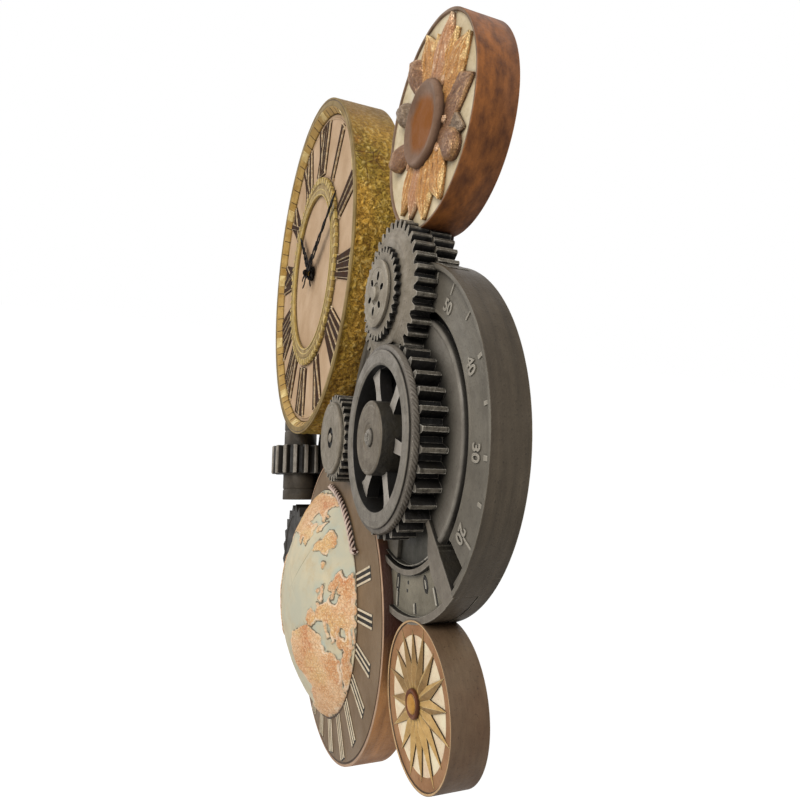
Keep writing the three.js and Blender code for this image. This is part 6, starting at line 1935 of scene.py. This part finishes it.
ROPE_AT = 91.5
ROPE_R = 2.3
STEPS_PER_TURN = 50
STRANDS = 3
rope = Form()
steps = 300
ROPE_HEIGHT = 24.9 + ROPE_R
centre_line = [at(DOME, -5 + 50 * i / steps, ROPE_AT, ROPE_HEIGHT) for i in range(steps)]
hook = [k / 24 for k in range(25)]
centre_line += [at(DOME, 45 + 2.0 * t, ROPE_AT + 5 * t * t, ROPE_HEIGHT) for t in hook]
for strand in range(STRANDS):
    path = []
    for i, here in enumerate(centre_line):
        ahead = (centre_line[min(i + 1, len(centre_line) - 1)] - centre_line[max(i - 1, 0)]).normalized()
        out = Vector((0, -1, 0))
        side = ahead.cross(out).normalized()
        turn = 2 * math.pi * (strand / STRANDS + i / STEPS_PER_TURN)
        path.append(here + (out * math.cos(turn) + side * math.sin(turn)) * (ROPE_R * 0.70))
    rope.add(tube(path, ROPE_R * 0.30, 10))
rope.add(tube(centre_line, ROPE_R * 0.72, 14), 1)
build("rope_strands", rope, [rope_look, rope_core], nodes=["rope_trim"], crease=80)
rope_length = sum((b - a).length for a, b in zip(centre_line, centre_line[1:]))
print("rope:", STRANDS, "strands along", round(rope_length, 1), "mm")

# %% [markdown]
# The sextant lies in the dial's pocket: an arm, a narrow inner arc and a wide outer arc, with a scale
# plate between them that carries ticks, short dark bars and two ovals with a bar in each. All are
# flat castings, so they are sectors and bars with eased edges. The outer side of the sextant
# continues the dial's side, so it is painted with it.

# %% The sextant
SEXTANT_FRONT = 20.8
SCALE_FRONT = 17.8
ARM = 125.4
sextant = Form()
sextant.add(sector(DIAL, 76.8, 80.2, ARM, 205, 7.3, SEXTANT_FRONT))
sextant.add(sector(DIAL, 102.8, DIAL_R - 0.1, ARM, 205, 7.3, SEXTANT_FRONT))
plate_line = [place(DIAL, ARM, 60.0)] + [place(DIAL, b, DIAL_R - 0.1) for b in (ARM, 127.4, 129.4, 131.5)]
plate_line += [place(DIAL, b, r) for b, r in (
    (134.5, 95.0), (136.0, 84.0), (135.6, 76.0), (134.0, 72.0), (130.4, 66.0), (129.6, 58.0))]
sextant.add(prism(plate_line, 7.3, SEXTANT_FRONT + 0.3))


def sextant_looks(point, normal):
    """The sextant's outer side is part of the dial's side and painted with it; its other sides take
    painted shade.
    """
    if normal.y > -0.6 and distance(point, DIAL) > DIAL_R - 1.5:
        return 2
    return faces_front(point, normal)


build("sextant_arcs", sextant, [sextant_grey, shaded_pewter_side, dial_side], nodes=["sextant_frame"],
      bevel=0.5, choose=sextant_looks)

# %% The scale and its marks
SCALE_TICKS = [(139.5, 91.0, 100.5), (157.0, 95.6, 101.2), (172.5, 90.8, 101.2), (187.0, 94.5, 100.0)]
# Dark beds a little to one side of each tick: painted shadows of the ticks.
TICK_SHADOWS = [(138.8, 90.5, 100.8), (156.2, 95.2, 101.4), (171.7, 90.4, 101.4), (186.2, 94.0, 100.4)]
OVALS = [(145.5, 4.4), (172.5, 5.2)]
OVAL_R = 86.8
SHORT_BARS = [(162.5, 84.5, 2.2), (163.5, 89.2, 1.9), (181.5, 84.3, 2.0)]
scale = Form(sector(DIAL, 80.4, 102.6, 131.0, 205, 7.3, SCALE_FRONT))
ticks = Form()
for bearing, inner, outer_radius in SCALE_TICKS:
    ticks.add(bar(DIAL, bearing, inner, outer_radius, 0.5, SCALE_FRONT - 0.2, SCALE_FRONT + 0.8))
for bearing, long in OVALS:
    oval = [at(DIAL, bearing + 1.15 * math.sin(t), OVAL_R + long * math.cos(t), SCALE_FRONT + 0.1)
            for t in angles(15, 361)]
    scale.add(tube(oval, 0.75, 8), 1)
    core = [at(DIAL, bearing, OVAL_R + long * 0.55 * s, SCALE_FRONT + 0.2) for s in (-1, -0.4, 0.4, 1)]
    ticks.add(tube(core, 0.6, 8))
flat_bars = [(bearing, radius - long / 2, radius + long / 2, 1.0) for bearing, radius, long in SHORT_BARS]
flat_bars += [(bearing, inner, outer_radius, 0.75) for bearing, inner, outer_radius in TICK_SHADOWS]
for bearing, inner, outer_radius, half in flat_bars:
    scale.add(bar(DIAL, bearing, inner, outer_radius, half, SCALE_FRONT - 0.1, SCALE_FRONT + 0.12), 1)
build("sextant_scale_cast", scale, [scale_grey, shade_and_mark_black], nodes=["sextant_scale"])
tick_pale = painted("Tick pewter", "b0a898", "968e7f", "14110e", "d0c9ba", metal=0.15, patch=90.0, reach=2.5)
build("sextant_marks", ticks, tick_pale, bevel=0.15)
print("marks on the scale:", len(SCALE_TICKS) + len(OVALS) + len(SHORT_BARS))

# %% [markdown]
# All castings stand on one board, cut along their outlines. The castings' skirts hide its edge, so it
# only shows in the webs that fill the gaps between them. The board is a union of round discs and of
# those webs, and its holes are cut out last.

# %% The board behind the castings
board_discs = [(ROSETTE, ROSETTE_R - SKIRT), (DIAL, DIAL_R - SKIRT), (GLOBE, GLOBE_R - SKIRT),
               (SUN, SUN_R - SKIRT), (REAR, 48.0), (PINION, 16.5)]


def disc_of(centre, radius, back, front, steps=220):
    return turned(centre, [(0, back), (radius, back), (radius, front), (0, front)], steps)


def box_of(middle, wide, high, back, front):
    x, z = middle
    corners = [(x - wide / 2, z - high / 2), (x + wide / 2, z - high / 2), (x + wide / 2, z + high / 2),
               (x - wide / 2, z + high / 2)]
    return prism(corners, back, front)


pinion_end = place(PINION, 163.1, 36.0)
board = build("backing_board", Form(disc_of(MAIN, MAIN_R - DENT_DEPTH - SKIRT, 0, BASE, 300)),
              shaded_backing_brown, nodes=["backing_plate"])
for centre, radius in board_discs:
    combine(board, Form(disc_of(centre, radius, 0, BASE)), "UNION")
for corners in ([MAIN, ROSETTE, DIAL], [MAIN, DIAL, GLOBE], [DIAL, SUN, GLOBE],
                [MAIN, GLOBE, REAR, pinion_end, PINION]):
    combine(board, Form(prism(corners, 0, BASE)), "UNION")
OUTSIDE = -1
THROUGH = BASE + 1
SERVICE_HOLE = 66.0
HANGER_SEAT = (46.6, 18.6)
HANGER_DEEP = 1.8
NAIL_HOLE = 14.0
SCREW_R = 2.0
SCREW_HEAD_R = 3.7
SCREW_HEAD_DEEP = 2.6
holes = [box_of(MAIN, SERVICE_HOLE, SERVICE_HOLE, OUTSIDE, THROUGH),
         box_of((0, 0), *HANGER_SEAT, OUTSIDE, HANGER_DEEP),
         box_of((0, 0), NAIL_HOLE, NAIL_HOLE, OUTSIDE, THROUGH)]
screw_spots = [place(MAIN, 330, 148), place(MAIN, 210, 148), place(DIAL, 60, 90), place(GLOBE, 200, 60),
               place(ROSETTE, 0, 8), place(SUN, 180, 8)]
for spot in screw_spots:
    holes.append(disc_of(spot, SCREW_R, OUTSIDE, THROUGH, 32))
    holes.append(disc_of(spot, SCREW_HEAD_R, OUTSIDE, SCREW_HEAD_DEEP, 32))
for hole in holes:
    combine(board, Form(hole))
print("board:", len(board.data.polygons), "faces,", len(holes), "cuts")

# %% [markdown]
# The hanger, its screws, the case screws and the movement keep their CAD shapes, which are right.
# They only need their finishes and softer edges. A finish goes into the object's material slot, and
# an edge is eased by a modifier, so the CAD mesh itself is never changed.

# %% Finishes for the hidden hardware
steel = plain("Zinc steel", "a9adb0", "94989b", 0.34, metal=0.9)
brass = plain("Plain brass", "bda05c", "a88a48", 0.3, metal=0.9)
black_case = plain("Moulded black", "1d1d1e", "272727", 0.46, bump=0.25, scale=900.0)
copper = plain("Copper wire", "a8602f", "8e4d24", 0.36, metal=0.8, bump=0.5)
board_green = plain("Circuit board", "2b5c3a", "244e31", 0.5)
cell = plain("Cell sleeve", "5c6064", "505458", 0.34, metal=0.3, coat=0.3)


def dress(names, look, width=0.15):
    for name in names:
        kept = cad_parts[name]
        kept.data.materials.clear()
        kept.data.materials.append(look)
        for face in kept.data.polygons:
            face.material_index = 0
        if width:
            ease_edges(kept, width)


dress(["hanger_plate", "hanger_screw_1", "hanger_screw_2", "stator", "contact_plus", "contact_minus",
       "rotor"], steel)
dress([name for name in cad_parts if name.startswith("case_screw")], steel, 0.2)
dress(["movement_case", "movement_cover", "set_knob"], black_case, 0.25)
dress(["fixing_nut"], black_lacquer, 0.1)
dress(["centre_wheel", "hour_wheel", "motion_wheel", "third_wheel"], brass, 0.1)
dress(["coil"], copper)
dress(["circuit_board"], board_green)
dress(["battery"], cell, 0.4)
shown = [name for name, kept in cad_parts.items() if not kept.hide_render]
print("CAD nodes still shown:", len(shown))

# %% [markdown]
# The clock hangs in the air over a pale floor, with no wall, so that its back can be seen as well.
# The light is plain: an even white world, a broad lamp from the upper right and a weak one from the
# left. The camera stands close on the right of the clock, as the photographer did.

# %% Floor and light
floor_mesh = bpy.data.meshes.new("floor")
FLOOR_SIZE = 60.0
FLOOR_AT = -0.85
floor_corners = [(x * FLOOR_SIZE, y * FLOOR_SIZE, FLOOR_AT) for x, y in ((-1, -1), (1, -1), (1, 1), (-1, 1))]
floor_mesh.from_pydata(floor_corners, [], [(0, 1, 2, 3)])
floor = bpy.data.objects.new("floor", floor_mesh)
scene.collection.objects.link(floor)
FLOOR_GLOW = 1.26
GLOW_SHARE = 0.7
floor_look, tree, floor_shader = new_look("Pale floor")
floor_shader["Base Color"].default_value = (0.9, 0.9, 0.9, 1)
floor_shader["Roughness"].default_value = 0.9
white = node(tree, "ShaderNodeEmission", {"Color": (1, 1, 1, 1), "Strength": FLOOR_GLOW})
seen = node(tree, "ShaderNodeLightPath").outputs["Is Camera Ray"]
blend_in = node(tree, "ShaderNodeMixShader", {0: times(tree, seen, GLOW_SHARE)})
tree.links.new(tree.nodes["Principled BSDF"].outputs[0], blend_in.inputs[1])
tree.links.new(white.outputs[0], blend_in.inputs[2])
tree.links.new(blend_in.outputs[0], tree.nodes["Material Output"].inputs["Surface"])
floor_mesh.materials.append(floor_look)

world = bpy.data.worlds.new("studio")
scene.world = world
world.use_nodes = True
tree = world.node_tree
background = tree.nodes["Background"]
path = node(tree, "ShaderNodeLightPath").outputs
seen = sums(tree, "MAXIMUM", path["Is Camera Ray"], path["Is Glossy Ray"])
seen = sums(tree, "MAXIMUM", seen, path["Is Transmission Ray"])
ROOM_LIGHT = 0.42
tree.links.new(spread(tree, seen, 0.0, 1.0, ROOM_LIGHT, 1.0), background.inputs["Strength"])
background.inputs["Color"].default_value = (1, 1, 1, 1)


def lamp(name, spot, target, size, watts):
    data = bpy.data.lights.new(name, "AREA")
    data.size = size
    data.energy = watts
    made = bpy.data.objects.new(name, data)
    made.location = spot
    made.rotation_euler = (Vector(target) - Vector(spot)).to_track_quat("-Z", "Y").to_euler()
    scene.collection.objects.link(made)


CLOCK_MIDDLE = (0.0, -0.02, -0.2)
lamp("key", (1.1, -1.2, 0.9), CLOCK_MIDDLE, 0.9, 26)
lamp("fill", (-1.3, -1.5, 0.2), CLOCK_MIDDLE, 1.4, 9)

# %% Camera
EYE = (0.470, -0.160, -0.120)
SIGHT = Vector((-0.92468, 0.36790, -0.09804))
TO_RIGHT = Vector((0.35738, 0.92749, 0.10971))
TO_TOP = Vector((-0.13129, -0.06641, 0.98912))
camera_data = bpy.data.cameras.new("camera")
camera_data.sensor_width = 36
camera_data.lens = 27.14
camera_data.clip_start = 0.02
camera = bpy.data.objects.new("camera", camera_data)
scene.collection.objects.link(camera)
axes = Matrix((TO_RIGHT, TO_TOP, -SIGHT)).transposed().to_4x4()
camera.matrix_world = Matrix.Translation(EYE) @ axes
scene.camera = camera
print("camera at", [round(v, 3) for v in camera.location])
